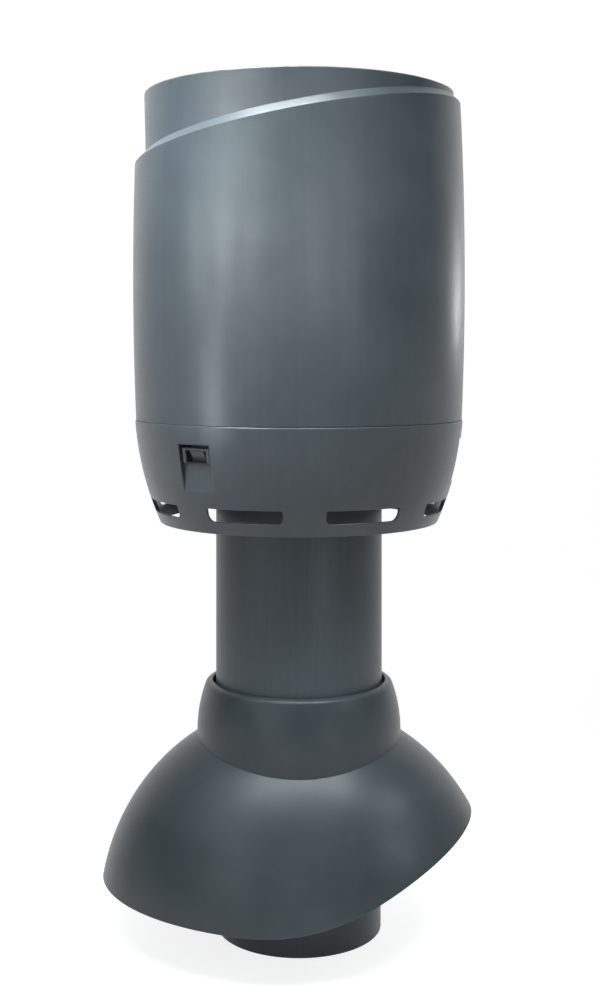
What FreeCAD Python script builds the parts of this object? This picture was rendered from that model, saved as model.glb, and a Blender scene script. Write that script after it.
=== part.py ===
"""Roof vent pipe: a 110 mm pipe with a domed roof skirt and an upward-blowing rain hood.

Millimetres, +Z up, origin on the pipe's axis at its lower end.  The roof falls along X and the
photograph looks along +Y.  Every length below is kept in the document's sheet, and every feature
takes its sizes from there.
"""
import FreeCAD, Part
import math
import os

import Sketcher
from FreeCAD import Placement, Rotation, Vector

SIZES = (
    # Vent pipe
    ("pipe_radius", 55.0),
    ("pipe_wall", 3.4),
    ("pipe_top", 326.0),
    ("pipe_bevel", 1.2),
    # Its lower end, drawn in for the duct's socket
    ("spigot_length", 38.0),
    ("spigot_step", 0.7),
    ("spigot_slope", 2.0),
    # Fits
    ("fit_gap", 0.3),
    ("hole_gap", 0.1),
    # How far a cutter runs past what it cuts, and how far one reaches that cuts everything
    ("overrun", 5.0),
    ("cutter_reach", 200.0),
    # Skirt's dome, longer along the roof's fall than across it
    ("dome_half_length", 131.8),
    ("dome_half_width", 106.9),
    ("dome_rise", 135.9),
    ("dome_centre", 10.3),
    ("dome_wall", 3.0),
    # Skirt's lower edge, seen across the roof's fall
    ("edge_level", 32.5),
    ("edge_low_angle", 1.6),
    ("edge_bend_start", -34.0),
    ("edge_bend_radius", 190.0),
    ("edge_high_angle", 24.0),
    # Skirt's collar
    ("collar_reach", 12.4),
    ("collar_shoulder", 130.0),
    ("collar_bulge_radius", 89.0),
    ("collar_top", 163.3),
    ("collar_lip_rounding", 2.5),
    ("collar_wall", 3.2),
    ("collar_root", 60.0),
    # Guide sleeve and ribs inside the skirt
    ("guide_wall", 3.0),
    ("guide_low", 42.0),
    ("guide_top", 150.0),
    ("rib_count", 6),
    ("rib_thickness", 2.4),
    ("rib_low", 84.0),
    # Rubber ring under the collar's lip
    ("collar_seal_width", 2.0),
    ("collar_seal_top", 159.5),
    ("seal_lip", 1.2),
    # Hood: turn about the pipe's axis, counted from the roof's fall line
    ("hood_turn", -7.0),
    # Base ring's outside, an arc in section
    ("ring_low", 268.5),
    ("ring_top", 335.2),
    ("ring_proud", 0.6),
    ("ring_widest", 348.6),
    ("ring_bulge_radius", 197.0),
    ("ring_wall", 2.6),
    ("ring_shoulder_low", 322.0),
    ("ring_shoulder_high", 331.0),
    ("ring_foot_rounding", 0.7),
    ("upstand_wall", 2.5),
    ("upstand_height", 8.0),
    # Drain slots
    ("slot_count", 8),
    ("slot_phase", 31.5),
    ("slot_width", 49.2),
    ("slot_low", 276.4),
    ("slot_high", 284.6),
    ("slot_rounding", 4.5),
    # Snap latches between the ring and the shell
    ("latch_count", 3),
    ("latch_width", 24.0),
    ("latch_low", 295.2),
    ("latch_step", 312.5),
    ("latch_high", 323.5),
    ("latch_sink", 0.9),
    ("latch_plate", 2.4),
    ("latch_surround", 2.0),
    ("loop_sink", 2.1),
    ("loop_thickness", 2.4),
    ("loop_root", 1.5),
    ("loop_width", 21.2),
    ("loop_leg", 2.5),
    ("loop_top", 321.6),
    ("loop_bar", 1.6),
    ("tongue_thickness", 2.4),
    ("tongue_width", 18.0),
    ("tongue_low", 309.0),
    ("tongue_high", 356.0),
    ("nose_low", 313.2),
    ("nose_foot", 2.0),
    ("nose_grip", 1.2),
    ("nose_width", 10.6),
    # Socket in the middle of the ring, with its webs
    ("socket_low", 285.0),
    ("socket_stop", 1.6),
    ("socket_stop_reach", 3.0),
    ("socket_flange_width", 5.7),
    ("socket_flange", 3.0),
    ("lug_margin", 9.0),
    ("boss_radius", 5.0),
    ("boss_height", 6.0),
    ("web_count", 6),
    ("web_thickness", 2.4),
    ("web_low", 297.0),
    ("web_high", 324.0),
    # Rubber ring in the socket's groove
    ("socket_seal_low", 297.0),
    ("socket_seal_width", 3.0),
    ("socket_seal_height", 8.0),
    # Hood shell: barrel, slanted ledge and neck
    ("barrel_radius", 109.6),
    ("barrel_widest", 430.0),
    ("barrel_bulge_radius", 2250.0),
    ("shell_wall", 3.0),
    ("ledge_height", 526.8),
    ("ledge_angle", 10.6),
    ("ledge_bevel", 6.4),
    ("ledge_rounding", 3.0),
    ("neck_step", 8.4),
    ("neck_flare", 1.1),
    ("neck_sink", 26.8),
    ("neck_rise", 22.6),
    ("neck_rounding", 1.0),
    ("seam_bevel", 0.7),
    # Rain cap over the pipe's mouth
    ("cap_radius", 78.0),
    ("cap_edge", 374.0),
    ("cap_rise", 28.0),
    ("cap_wall", 2.5),
    ("cap_drip", 6.0),
    ("leg_count", 3),
    ("leg_thickness", 3.0),
    ("leg_width", 11.0),
    ("leg_inset", 3.0),
    ("foot_width", 24.0),
    ("foot_thickness", 3.0),
    # Screws
    ("screw_radius", 1.9),
    ("screw_head_radius", 4.0),
    ("screw_head", 2.4),
    ("screw_crown_radius", 3.4),
    ("screw_flat", 1.2),
    ("screw_length", 9.0),
    ("screw_tip", 1.5),
    ("radial_screw_count", 4),
    ("skirt_screw_height", 51.0),
    ("skirt_screw_turn", 45.0),
    ("hood_screw_height", 290.0),
    ("cap_screw_clearance", 8.0),
)


class Size:
    """A number together with the expression that ties it to the sheet."""

    def __init__(self, value, text):
        self.value = float(value)
        self.text = text

    def __add__(self, other):
        other = as_size(other)
        return Size(self.value + other.value, "(%s + %s)" % (self.text, other.text))

    def __sub__(self, other):
        other = as_size(other)
        return Size(self.value - other.value, "(%s - %s)" % (self.text, other.text))

    def __mul__(self, other):
        other = as_size(other)
        return Size(self.value * other.value, "(%s * %s)" % (self.text, other.text))

    def __truediv__(self, other):
        other = as_size(other)
        return Size(self.value / other.value, "(%s / %s)" % (self.text, other.text))

    def __neg__(self):
        return Size(-self.value, "(0 - %s)" % self.text)


def as_size(number):
    """Wraps a plain number, and leaves a Size alone."""
    return number if isinstance(number, Size) else Size(number, repr(float(number)))


def root(size):
    return Size(math.sqrt(size.value), "sqrt(%s)" % size.text)


def sine(angle):
    return Size(math.sin(math.radians(angle.value)), "sin(%s)" % angle.text)


def cosine(angle):
    return Size(math.cos(math.radians(angle.value)), "cos(%s)" % angle.text)


ZERO = as_size(0)


def make_sheet(doc):
    """Writes every size into the document's sheet and returns the sizes by name."""
    sheet = doc.addObject("Spreadsheet::Sheet", "Sizes")
    sizes = {}
    for row, (name, value) in enumerate(SIZES, start=1):
        sheet.set("A%d" % row, name)
        sheet.set("B%d" % row, str(value))
        sheet.setAlias("B%d" % row, name)
        sizes[name] = Size(value, "Sizes.%s" % name)
    doc.recompute()
    return sizes


def tie(thing, name, size):
    """Sets a property and binds it to the sheet."""
    thing.setExpression(name, size.text)


def bulge(widest_radius, widest_height, bulge_radius, height):
    """Radius at one height of a wall that is an arc in section."""
    rise = height - widest_height
    return widest_radius - bulge_radius + root(bulge_radius * bulge_radius - rise * rise)


def new_body(doc, name):
    return doc.addObject("PartDesign::Body", name)


def origin_part(body, role):
    return [part for part in body.Origin.OriginFeatures if part.Role == role][0]


def new_sketch(body, name, plane="XZ_Plane", turn=None, lift=None):
    """A sketch on one of the body's planes, turned about its upright and lifted off the plane."""
    sketch = body.newObject("Sketcher::SketchObject", name)
    sketch.AttachmentSupport = [(origin_part(body, plane), "")]
    sketch.MapMode = "FlatFace"
    sketch.AttachmentOffset = Placement(Vector(), Rotation(Vector(0, 1, 0), turn.value if turn else 0))
    if turn:
        tie(sketch, "AttachmentOffset.Rotation.Angle", turn)
    if lift:
        tie(sketch, "AttachmentOffset.Base.z", lift)
    return sketch


def bind(sketch, kind, places, size):
    """Adds one dimension to a sketch and binds it to the sheet."""
    index = sketch.addConstraint(Sketcher.Constraint(kind, *places, size.value))
    sketch.setExpression("Constraints[%d]" % index, size.text)


def bend_centre(start, end, radius, side):
    """Centre of the arc from start to end that bulges to the given side of the chord."""
    chord = end - start
    across = Vector(chord.y, -chord.x, 0).normalize() * side
    depth = math.sqrt(max(radius ** 2 - (chord.Length / 2) ** 2, 0))
    return (start + end) * 0.5 - across * depth


def draw_outline(sketch, corners):
    """Draws a closed outline.

    Each corner is (across, up), or (across, up, radius, side) where the stretch that leaves it is
    an arc: side 1 bulges to the right of the way that the outline runs, and -1 to the left.
    """
    points = [Vector(corner[0].value, corner[1].value, 0) for corner in corners]
    ends = []
    for number, corner in enumerate(corners):
        start = points[number]
        end = points[(number + 1) % len(points)]
        if len(corner) == 2:
            edge = sketch.addGeometry(Part.LineSegment(start, end), False)
            ends.append((edge, 1, 2))
            continue
        radius, side = corner[2:]
        centre = bend_centre(start, end, radius.value, side)
        first, last = (start, end) if side > 0 else (end, start)
        angles = [math.atan2(point.y - centre.y, point.x - centre.x) for point in (first, last)]
        circle = Part.Circle(centre, Vector(0, 0, 1), radius.value)
        edge = sketch.addGeometry(Part.ArcOfCircle(circle, *angles), False)
        ends.append((edge, 1, 2) if side > 0 else (edge, 2, 1))
    for number, corner in enumerate(corners):
        edge, start, _ = ends[number]
        before, _, finish = ends[number - 1]
        sketch.addConstraint(Sketcher.Constraint("Coincident", before, finish, edge, start))
        if corner[0] is ZERO:
            sketch.addConstraint(Sketcher.Constraint("PointOnObject", edge, start, -2))
        else:
            bind(sketch, "DistanceX", (-1, 1, edge, start), corner[0])
        bind(sketch, "DistanceY", (-1, 1, edge, start), corner[1])
        if len(corner) > 2:
            bind(sketch, "Radius", (edge,), corner[2])


def draw_circle(sketch, radius, across=None, up=None):
    """Draws a circle at the sketch's origin, or at a place on it."""
    centre = Vector(across.value if across else 0, up.value if up else 0, 0)
    edge = sketch.addGeometry(Part.Circle(centre, Vector(0, 0, 1), radius.value), False)
    if across or up:
        for kind, place in (("DistanceX", across), ("DistanceY", up)):
            if place:
                bind(sketch, kind, (-1, 1, edge, 3), place)
            else:
                axis = -2 if kind == "DistanceX" else -1
                sketch.addConstraint(Sketcher.Constraint("PointOnObject", edge, 3, axis))
    else:
        sketch.addConstraint(Sketcher.Constraint("Coincident", edge, 3, -1, 1))
    bind(sketch, "Radius", (edge,), radius)


def rectangle(width, low, high):
    """Corners of an upright rectangle about the sketch's upright axis."""
    half = width / 2
    return [(-half, low), (half, low), (half, high), (-half, high)]


def box_corners(left, right, low, high):
    return [(left, low), (right, low), (right, high), (left, high)]


def spin(body, kind, name, corners):
    """A turned feature about Z: kind is Revolution to add or Groove to cut."""
    sketch = new_sketch(body, name + "_sketch")
    draw_outline(sketch, corners)
    feature = body.newObject("PartDesign::" + kind, name)
    feature.Profile = sketch
    feature.ReferenceAxis = (sketch, ["V_Axis"])
    feature.Angle = 360
    return feature


def push(body, kind, name, sketch, length, both=False, back=False):
    """A Pad or Pocket of a sketch: both is about its plane, back turns its way round."""
    feature = body.newObject("PartDesign::" + kind, name)
    feature.Profile = sketch
    feature.SideType = "Symmetric" if both else "One side"
    feature.Reversed = back
    tie(feature, "Length", length)
    return feature


def pattern(body, name, features, count):
    """Repeats features round Z, all the way round."""
    feature = body.newObject("PartDesign::PolarPattern", name)
    feature.Originals = features
    feature.Axis = (origin_part(body, "Z_Axis"), [""])
    feature.Angle = 360
    tie(feature, "Occurrences", count)
    body.Tip = feature
    return feature


def round_edges(body, kind, name, base, size, wanted):
    """Fillets or chamfers the edges of the base feature that the test picks out."""
    body.Document.recompute()
    names = ["Edge%d" % number for number, edge in enumerate(base.Shape.Edges, start=1) if wanted(edge)]
    feature = body.newObject("PartDesign::" + kind, name)
    feature.Base = (base, names)
    tie(feature, "Radius" if kind == "Fillet" else "Size", size)
    return feature


def is_ring(edge, radius, height):
    """Whether an edge is a whole level circle of this radius at this height."""
    box = edge.BoundBox
    level = abs(box.ZMin - height) < 0.01 and abs(box.ZMax - height) < 0.01
    return level and abs(box.XMax - radius) < 0.02 and abs(box.XMin + radius) < 0.02


def combine(doc, kind, name, *shapes):
    """A boolean of whole shapes: Cut takes the second from the first."""
    if kind == "Cut":
        feature = doc.addObject("Part::Cut", name)
        feature.Base, feature.Tool = shapes
    else:
        feature = doc.addObject("Part::Multi" + kind, name)
        feature.Shapes = list(shapes)
    feature.Refine = True
    return feature


def ellipsoid(doc, name, dims, inset):
    """The dome's outside, or its inside when inset by the wall."""
    solid = doc.addObject("Part::Ellipsoid", name)
    tie(solid, "Radius1", dims["dome_rise"] - inset)
    tie(solid, "Radius2", dims["dome_half_length"] - inset)
    tie(solid, "Radius3", dims["dome_half_width"] - inset)
    tie(solid, "Placement.Base.z", dims["dome_centre"])
    return solid


def sleeve_radius(dims):
    """Outside of the skirt's guide sleeve, and of the hood's socket, round the pipe."""
    return dims["pipe_radius"] + dims["fit_gap"] + dims["guide_wall"]


def make_vent_pipe(doc, dims):
    """Extruded pipe with a drawn-in spigot, drilled for the skirt's and the hood's screws."""
    body = new_body(doc, "vent_pipe")
    radius = dims["pipe_radius"]
    sketch = new_sketch(body, "pipe_section", "XY_Plane")
    draw_circle(sketch, radius)
    draw_circle(sketch, radius - dims["pipe_wall"])
    pad = push(body, "Pad", "pipe_length", sketch, dims["pipe_top"])
    round_edges(body, "Chamfer", "pipe_bevel", pad, dims["pipe_bevel"],
                lambda edge: is_ring(edge, radius.value, dims["pipe_top"].value))
    spigot = radius - dims["spigot_step"]
    clear = radius + dims["overrun"]
    below = -dims["overrun"]
    length = dims["spigot_length"]
    spin(body, "Groove", "spigot_trim", [
        (spigot, below), (clear, below), (clear, length + dims["spigot_slope"]),
        (radius, length + dims["spigot_slope"]), (spigot, length)])
    for name, height, turn in (
            ("skirt_screw", dims["skirt_screw_height"], dims["skirt_screw_turn"]),
            ("hood_screw", dims["hood_screw_height"], dims["hood_turn"] + dims["slot_phase"])):
        drill_wall(body, name, dims, height, turn)
    return body


def drill_wall(body, name, dims, height, turn):
    """Drills a ring of radial screw holes, from the axis outwards."""
    sketch = new_sketch(body, name + "_hole", "YZ_Plane", turn)
    draw_circle(sketch, dims["screw_radius"] + dims["hole_gap"], None, height)
    drill = push(body, "Pocket", name + "_drilling", sketch, sleeve_radius(dims) + dims["overrun"], back=True)
    return pattern(body, name + "_holes", [drill], dims["radial_screw_count"])


def edge_outline(dims):
    """Side view of what is cut away under the skirt: level, then bent, then rising with the roof."""
    start = dims["edge_bend_start"]
    level = dims["edge_level"]
    bend = dims["edge_bend_radius"]
    low = dims["edge_low_angle"]
    high = dims["edge_high_angle"]
    far = dims["dome_half_length"] + dims["overrun"]
    end_x = start + bend * (sine(low) + sine(high))
    end_z = level + bend * (cosine(low) - cosine(high))
    left_z = level + (start + far) * sine(low) / cosine(low)
    right_z = end_z + (far - end_x) * sine(high) / cosine(high)
    floor = -dims["cutter_reach"]
    return [(-far, floor), (far, floor), (far, right_z), (end_x, end_z, bend, 1), (start, level), (-far, left_z)]


def make_roof_skirt(doc, dims):
    """Dome and collar in one moulding, with a ribbed guide sleeve inside."""
    radius = dims["pipe_radius"] + dims["collar_reach"]
    wall = dims["collar_wall"]
    shoulder = dims["collar_shoulder"]
    top = dims["collar_top"]
    guide = sleeve_radius(dims)
    guide_top = dims["guide_top"]
    lip = bulge(radius, shoulder, dims["collar_bulge_radius"], top)

    collar = new_body(doc, "collar_blank")
    turned = spin(collar, "Revolution", "collar_turned", [
        (ZERO, dims["collar_root"]), (radius, dims["collar_root"]),
        (radius, shoulder, dims["collar_bulge_radius"], 1), (lip, top), (ZERO, top)])
    round_edges(collar, "Fillet", "collar_lip", turned, dims["collar_lip_rounding"],
                lambda edge: is_ring(edge, lip.value, top.value))
    outside = combine(doc, "Fuse", "skirt_outside", ellipsoid(doc, "dome_outside", dims, ZERO), collar)

    hollow = new_body(doc, "collar_hollow")
    throat = bulge(radius, shoulder, dims["collar_bulge_radius"], guide_top)
    spin(hollow, "Revolution", "hollow_turned", [
        (ZERO, dims["collar_root"]), (radius - wall, dims["collar_root"]), (radius - wall, shoulder),
        (throat - wall, guide_top), (ZERO, guide_top)])
    inside = combine(doc, "Fuse", "skirt_inside", ellipsoid(doc, "dome_inside", dims, dims["dome_wall"]), hollow)

    frame = new_body(doc, "guide_frame")
    spin(frame, "Revolution", "guide_sleeve", [
        (ZERO, dims["guide_low"]), (guide, dims["guide_low"]), (guide, guide_top), (ZERO, guide_top)])
    rib = new_sketch(frame, "rib_section")
    draw_outline(rib, box_corners(dims["pipe_radius"], dims["dome_half_length"], dims["rib_low"], guide_top))
    pad = push(frame, "Pad", "rib", rib, dims["rib_thickness"], both=True)
    pattern(frame, "ribs", [pad], dims["rib_count"])
    cavity = combine(doc, "Cut", "skirt_cavity", inside, frame)

    bore = new_body(doc, "skirt_bore")
    far = dims["cutter_reach"]
    clear = dims["pipe_radius"] + dims["fit_gap"]
    seat = dims["pipe_radius"] + dims["collar_seal_width"]
    spin(bore, "Revolution", "bore_turned", [
        (ZERO, -far), (clear, -far), (clear, guide_top), (seat, guide_top), (seat, top + dims["overrun"]),
        (ZERO, top + dims["overrun"])])

    trim = new_body(doc, "skirt_trim")
    sketch = new_sketch(trim, "skirt_edge")
    draw_outline(sketch, edge_outline(dims))
    push(trim, "Pad", "edge_cut", sketch, far * 2, both=True)
    spared = new_sketch(trim, "guide_spared", "XY_Plane", lift=dims["rib_low"])
    draw_circle(spared, guide + dims["fit_gap"])
    push(trim, "Pocket", "guide_kept", spared, dims["rib_low"] - dims["guide_low"] + dims["fit_gap"])

    drill = new_body(doc, "skirt_drill")
    hole = new_sketch(drill, "skirt_hole", "YZ_Plane", dims["skirt_screw_turn"])
    draw_circle(hole, dims["screw_radius"] + dims["hole_gap"], None, dims["skirt_screw_height"])
    bit = push(drill, "Pad", "skirt_hole_bit", hole, guide + dims["overrun"])
    pattern(drill, "skirt_holes", [bit], dims["radial_screw_count"])

    shell = combine(doc, "Cut", "skirt_shell", outside, cavity)
    bored = combine(doc, "Cut", "skirt_bored", shell, bore)
    drilled = combine(doc, "Cut", "skirt_drilled", bored, drill)
    return combine(doc, "Cut", "roof_skirt", drilled, trim)


def make_collar_seal(doc, dims):
    """Rubber ring that closes the gap between the pipe and the collar's lip."""
    body = new_body(doc, "collar_seal")
    inner = dims["pipe_radius"]
    outer = inner + dims["collar_seal_width"]
    top = dims["collar_seal_top"]
    spin(body, "Revolution", "collar_seal_turned", [
        (inner, dims["guide_top"]), (outer, dims["guide_top"]), (outer, top - dims["seal_lip"]),
        (inner + dims["seal_lip"], top), (inner, top)])
    return body


def barrel_radius(dims, height):
    return bulge(dims["barrel_radius"], dims["barrel_widest"], dims["barrel_bulge_radius"], height)


def ring_radius(dims, height, inset=ZERO):
    """Outside of the base ring, which stands a little proud of the shell at its top, less an inset."""
    top = barrel_radius(dims, dims["ring_top"]) + dims["ring_proud"]
    widest = top - bulge(ZERO, dims["ring_widest"], dims["ring_bulge_radius"], dims["ring_top"])
    return bulge(widest, dims["ring_widest"], dims["ring_bulge_radius"], height) - inset


def latch_face(dims):
    """Distance from the axis to the flat floor of a latch's recess."""
    return ring_radius(dims, dims["latch_low"]) - dims["latch_sink"]


def cap_screw_radius(dims):
    """Distance from the axis to the rain cap's screws, just clear of the cap's edge."""
    return dims["cap_radius"] + dims["cap_screw_clearance"]


def loop_face(dims, height):
    """Distance from the axis to the front of a latch's loop, which leans out along the ring."""
    return ring_radius(dims, height) - dims["loop_sink"]


def loop_outline(dims):
    """Side view of a latch's loop, from its root in the panel's top to its bar."""
    face = latch_face(dims)
    back = face - dims["latch_plate"]
    low = dims["latch_step"]
    top = dims["loop_top"]
    thick = dims["loop_thickness"]
    return [(back, low - dims["loop_root"]), (face, low - dims["loop_root"]), (loop_face(dims, low), low),
            (loop_face(dims, top), top), (loop_face(dims, top) - thick, top),
            (loop_face(dims, low) - thick, low + thick), (back, low)]


def make_hood_base(doc, dims):
    """Lower half of the hood: slotted ring, webs and the socket that sits on the pipe."""
    body = new_body(doc, "hood_base")
    face = latch_face(dims)
    back = face - dims["latch_plate"]
    mid = dims["ring_wall"] / 2
    low = dims["ring_low"]
    top = dims["ring_top"]
    bend = dims["ring_bulge_radius"]
    half_step = as_size(180) / dims["web_count"]
    depth = ring_radius(dims, top) - back + dims["overrun"]
    far = dims["cutter_reach"]

    block = new_sketch(body, "latch_block_section", "YZ_Plane", lift=back)
    surround = dims["latch_surround"]
    draw_outline(block, rectangle(dims["latch_width"] + surround * 2, dims["latch_low"] - surround,
                                  dims["latch_high"] + surround))
    pad = push(body, "Pad", "latch_block", block, depth)
    pattern(body, "latch_blocks", [pad], dims["latch_count"])
    web = new_sketch(body, "web_section", turn=half_step)
    draw_outline(web, box_corners(dims["pipe_radius"] + dims["guide_wall"], ring_radius(dims, top),
                                  dims["web_low"], dims["web_high"]))
    pad = push(body, "Pad", "web", web, dims["web_thickness"], both=True)
    pattern(body, "webs", [pad], dims["web_count"])
    spin(body, "Groove", "outer_trim", [
        (ring_radius(dims, low, mid), low, bend, 1), (ring_radius(dims, top, mid), top),
        (far, top), (far, low)])

    inner_shoulder = ring_radius(dims, dims["ring_shoulder_low"], dims["ring_wall"])
    upstand = barrel_radius(dims, top) - dims["shell_wall"] - dims["fit_gap"]
    upstand_in = upstand - dims["upstand_wall"]
    upstand_top = top + dims["upstand_height"]
    foot = ring_radius(dims, low)
    spin(body, "Revolution", "ring", [
        (foot, low, bend, 1), (ring_radius(dims, top), top), (upstand, top), (upstand, upstand_top),
        (upstand_in, upstand_top), (upstand_in, dims["ring_shoulder_high"]),
        (inner_shoulder, dims["ring_shoulder_low"], bend - dims["ring_wall"], -1),
        (ring_radius(dims, low, dims["ring_wall"]), low)])

    flange_top = dims["pipe_top"] + dims["socket_stop"]
    flange_low = flange_top - dims["socket_flange"]
    add_lugs(body, dims, flange_low)
    spin(body, "Revolution", "socket", socket_outline(dims, flange_low, flange_top))

    slot = new_sketch(body, "slot_section", turn=dims["slot_phase"])
    half = dims["slot_width"] / 2
    corner = dims["slot_rounding"]
    draw_outline(slot, [
        (-half, dims["slot_low"] + corner, corner, 1), (-half + corner, dims["slot_low"]),
        (half - corner, dims["slot_low"], corner, 1), (half, dims["slot_low"] + corner),
        (half, dims["slot_high"]), (-half, dims["slot_high"])])
    cut = push(body, "Pocket", "slot", slot, far)
    pattern(body, "slots", [cut], dims["slot_count"])

    recess = new_sketch(body, "recess_section", "YZ_Plane", lift=face)
    draw_outline(recess, rectangle(dims["latch_width"], dims["latch_low"], dims["latch_high"]))
    hole = new_sketch(body, "latch_hole_section", "YZ_Plane", lift=back - dims["overrun"])
    draw_outline(hole, rectangle(dims["latch_width"], dims["latch_step"], dims["latch_high"]))
    for name, sketch in (("recess", recess), ("latch_hole", hole)):
        cut = push(body, "Pocket", name, sketch, depth + dims["overrun"], back=True)
        pattern(body, name + "_all", [cut], dims["latch_count"])
    side = new_sketch(body, "loop_section")
    draw_outline(side, loop_outline(dims))
    pad = push(body, "Pad", "loop", side, dims["loop_width"], both=True)
    pattern(body, "loops", [pad], dims["latch_count"])
    window = new_sketch(body, "window_section", "YZ_Plane", lift=back - dims["overrun"])
    draw_outline(window, rectangle(dims["loop_width"] - dims["loop_leg"] * 2, dims["latch_step"],
                                   dims["loop_top"] - dims["loop_bar"]))
    cut = push(body, "Pocket", "window", window, depth + dims["overrun"], back=True)
    pattern(body, "windows", [cut], dims["latch_count"])

    last = drill_wall(body, "hood_screw", dims, dims["hood_screw_height"], dims["slot_phase"])
    pilot = new_sketch(body, "cap_hole", "XY_Plane", lift=flange_top + dims["overrun"])
    draw_circle(pilot, dims["screw_radius"] + dims["hole_gap"], -cap_screw_radius(dims))
    bit = push(body, "Pocket", "cap_hole_cut", pilot, far)
    last = pattern(body, "cap_holes", [bit], dims["leg_count"])
    round_edges(body, "Fillet", "ring_foot", last, dims["ring_foot_rounding"],
                lambda edge: is_ring(edge, foot.value, low.value))
    turn_hood(body, dims)
    return body


def socket_outline(dims, flange_low, flange_top):
    """Section of the socket: plain mouth for the screws, groove for the seal, stop and flange."""
    bore = dims["pipe_radius"] + dims["fit_gap"]
    outer = sleeve_radius(dims)
    groove = dims["pipe_radius"] + dims["socket_seal_width"]
    housing = groove + dims["guide_wall"]
    slope = housing - outer
    seal_low = dims["socket_seal_low"]
    seal_top = seal_low + dims["socket_seal_height"]
    stop = bore - dims["socket_stop_reach"]
    flange = outer + dims["socket_flange_width"]
    return [
        (bore, dims["socket_low"]), (outer, dims["socket_low"]), (outer, seal_low - slope),
        (housing, seal_low), (housing, seal_top), (outer, seal_top + slope), (outer, flange_low),
        (flange, flange_low), (flange, flange_top),
        (stop, flange_top), (stop, dims["pipe_top"]), (bore, dims["pipe_top"]), (bore, seal_top),
        (groove, seal_top), (groove, seal_low), (bore, seal_low)]


def lug_reach(dims):
    """Distance from the axis to the outer end of a lug, and of the foot on it."""
    return cap_screw_radius(dims) + dims["lug_margin"]


def add_lugs(body, dims, flange_low):
    """Three lugs on the socket's flange, with a boss under each, for the rain cap's feet."""
    half = dims["foot_width"] / 2
    lug = new_sketch(body, "lug_section", "XY_Plane", lift=flange_low)
    draw_outline(lug, box_corners(-lug_reach(dims), -dims["pipe_radius"] - dims["guide_wall"], -half, half))
    plate = push(body, "Pad", "lug", lug, dims["socket_flange"])
    boss = new_sketch(body, "boss_section", "XY_Plane", lift=flange_low - dims["boss_height"])
    draw_circle(boss, dims["boss_radius"], -cap_screw_radius(dims))
    post = push(body, "Pad", "boss", boss, dims["boss_height"] + dims["socket_flange"])
    pattern(body, "lugs", [plate, post], dims["leg_count"])


def turn_hood(thing, dims):
    """Turns a piece of the hood with the rest of it."""
    thing.Placement = Placement(Vector(), Rotation(Vector(0, 0, 1), dims["hood_turn"].value))
    tie(thing, "Placement.Rotation.Angle", dims["hood_turn"])


def make_socket_seal(doc, dims):
    """Rubber ring in the socket's groove, round the pipe."""
    body = new_body(doc, "socket_seal")
    inner = dims["pipe_radius"]
    outer = inner + dims["socket_seal_width"]
    low = dims["socket_seal_low"]
    top = low + dims["socket_seal_height"]
    spin(body, "Revolution", "socket_seal_turned", [
        (inner, low + dims["seal_lip"]), (inner + dims["seal_lip"], low), (outer, low), (outer, top), (inner, top)])
    return body


def neck_top(dims):
    """Height of the neck's lip."""
    return dims["ledge_height"] + dims["neck_rise"]


def hood_form(doc, dims, name, inset):
    """The shell's outer form, or its hollow when inset by the wall: barrel, slanted ledge, neck."""
    body = new_body(doc, name)
    foot = dims["ring_top"] if inset is ZERO else dims["ring_top"] - dims["overrun"]
    top = neck_top(dims) if inset is ZERO else neck_top(dims) + dims["overrun"]
    slope = sine(dims["ledge_angle"]) / cosine(dims["ledge_angle"])
    tall = dims["ledge_height"] + dims["barrel_radius"] * slope + dims["overrun"]
    far = dims["cutter_reach"]
    radius = barrel_radius(dims, foot) - inset
    neck = dims["barrel_radius"] - dims["neck_step"] - inset
    root_height = dims["ledge_height"] - dims["neck_sink"]
    spin(body, "Revolution", name + "_barrel", [
        (ZERO, foot), (radius, foot, dims["barrel_bulge_radius"] - inset, 1),
        (barrel_radius(dims, tall) - inset, tall), (ZERO, tall)])
    height = dims["ledge_height"] - inset / cosine(dims["ledge_angle"])
    climb = far * slope
    slant = new_sketch(body, name + "_slant")
    draw_outline(slant, [(-far, height - climb), (far, height + climb), (far, height + far), (-far, height + far)])
    cut = push(body, "Pocket", name + "_ledge", slant, far * 2, both=True)
    slanted = lambda edge: edge.BoundBox.YLength > neck.value * 2 and edge.BoundBox.ZLength > inset.value + 1
    bevel = round_edges(body, "Chamfer", name + "_bevel", cut, dims["ledge_bevel"], slanted)
    if inset is ZERO:
        lower = lambda edge: slanted(edge) and edge.BoundBox.XMax > barrel_radius(dims, tall).value - 1
        round_edges(body, "Fillet", name + "_shoulder", bevel, dims["ledge_rounding"], lower)
    return body, spin(body, "Revolution", name + "_neck", [
        (ZERO, root_height), (neck, root_height), (neck + dims["neck_flare"], top), (ZERO, top)])


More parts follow.
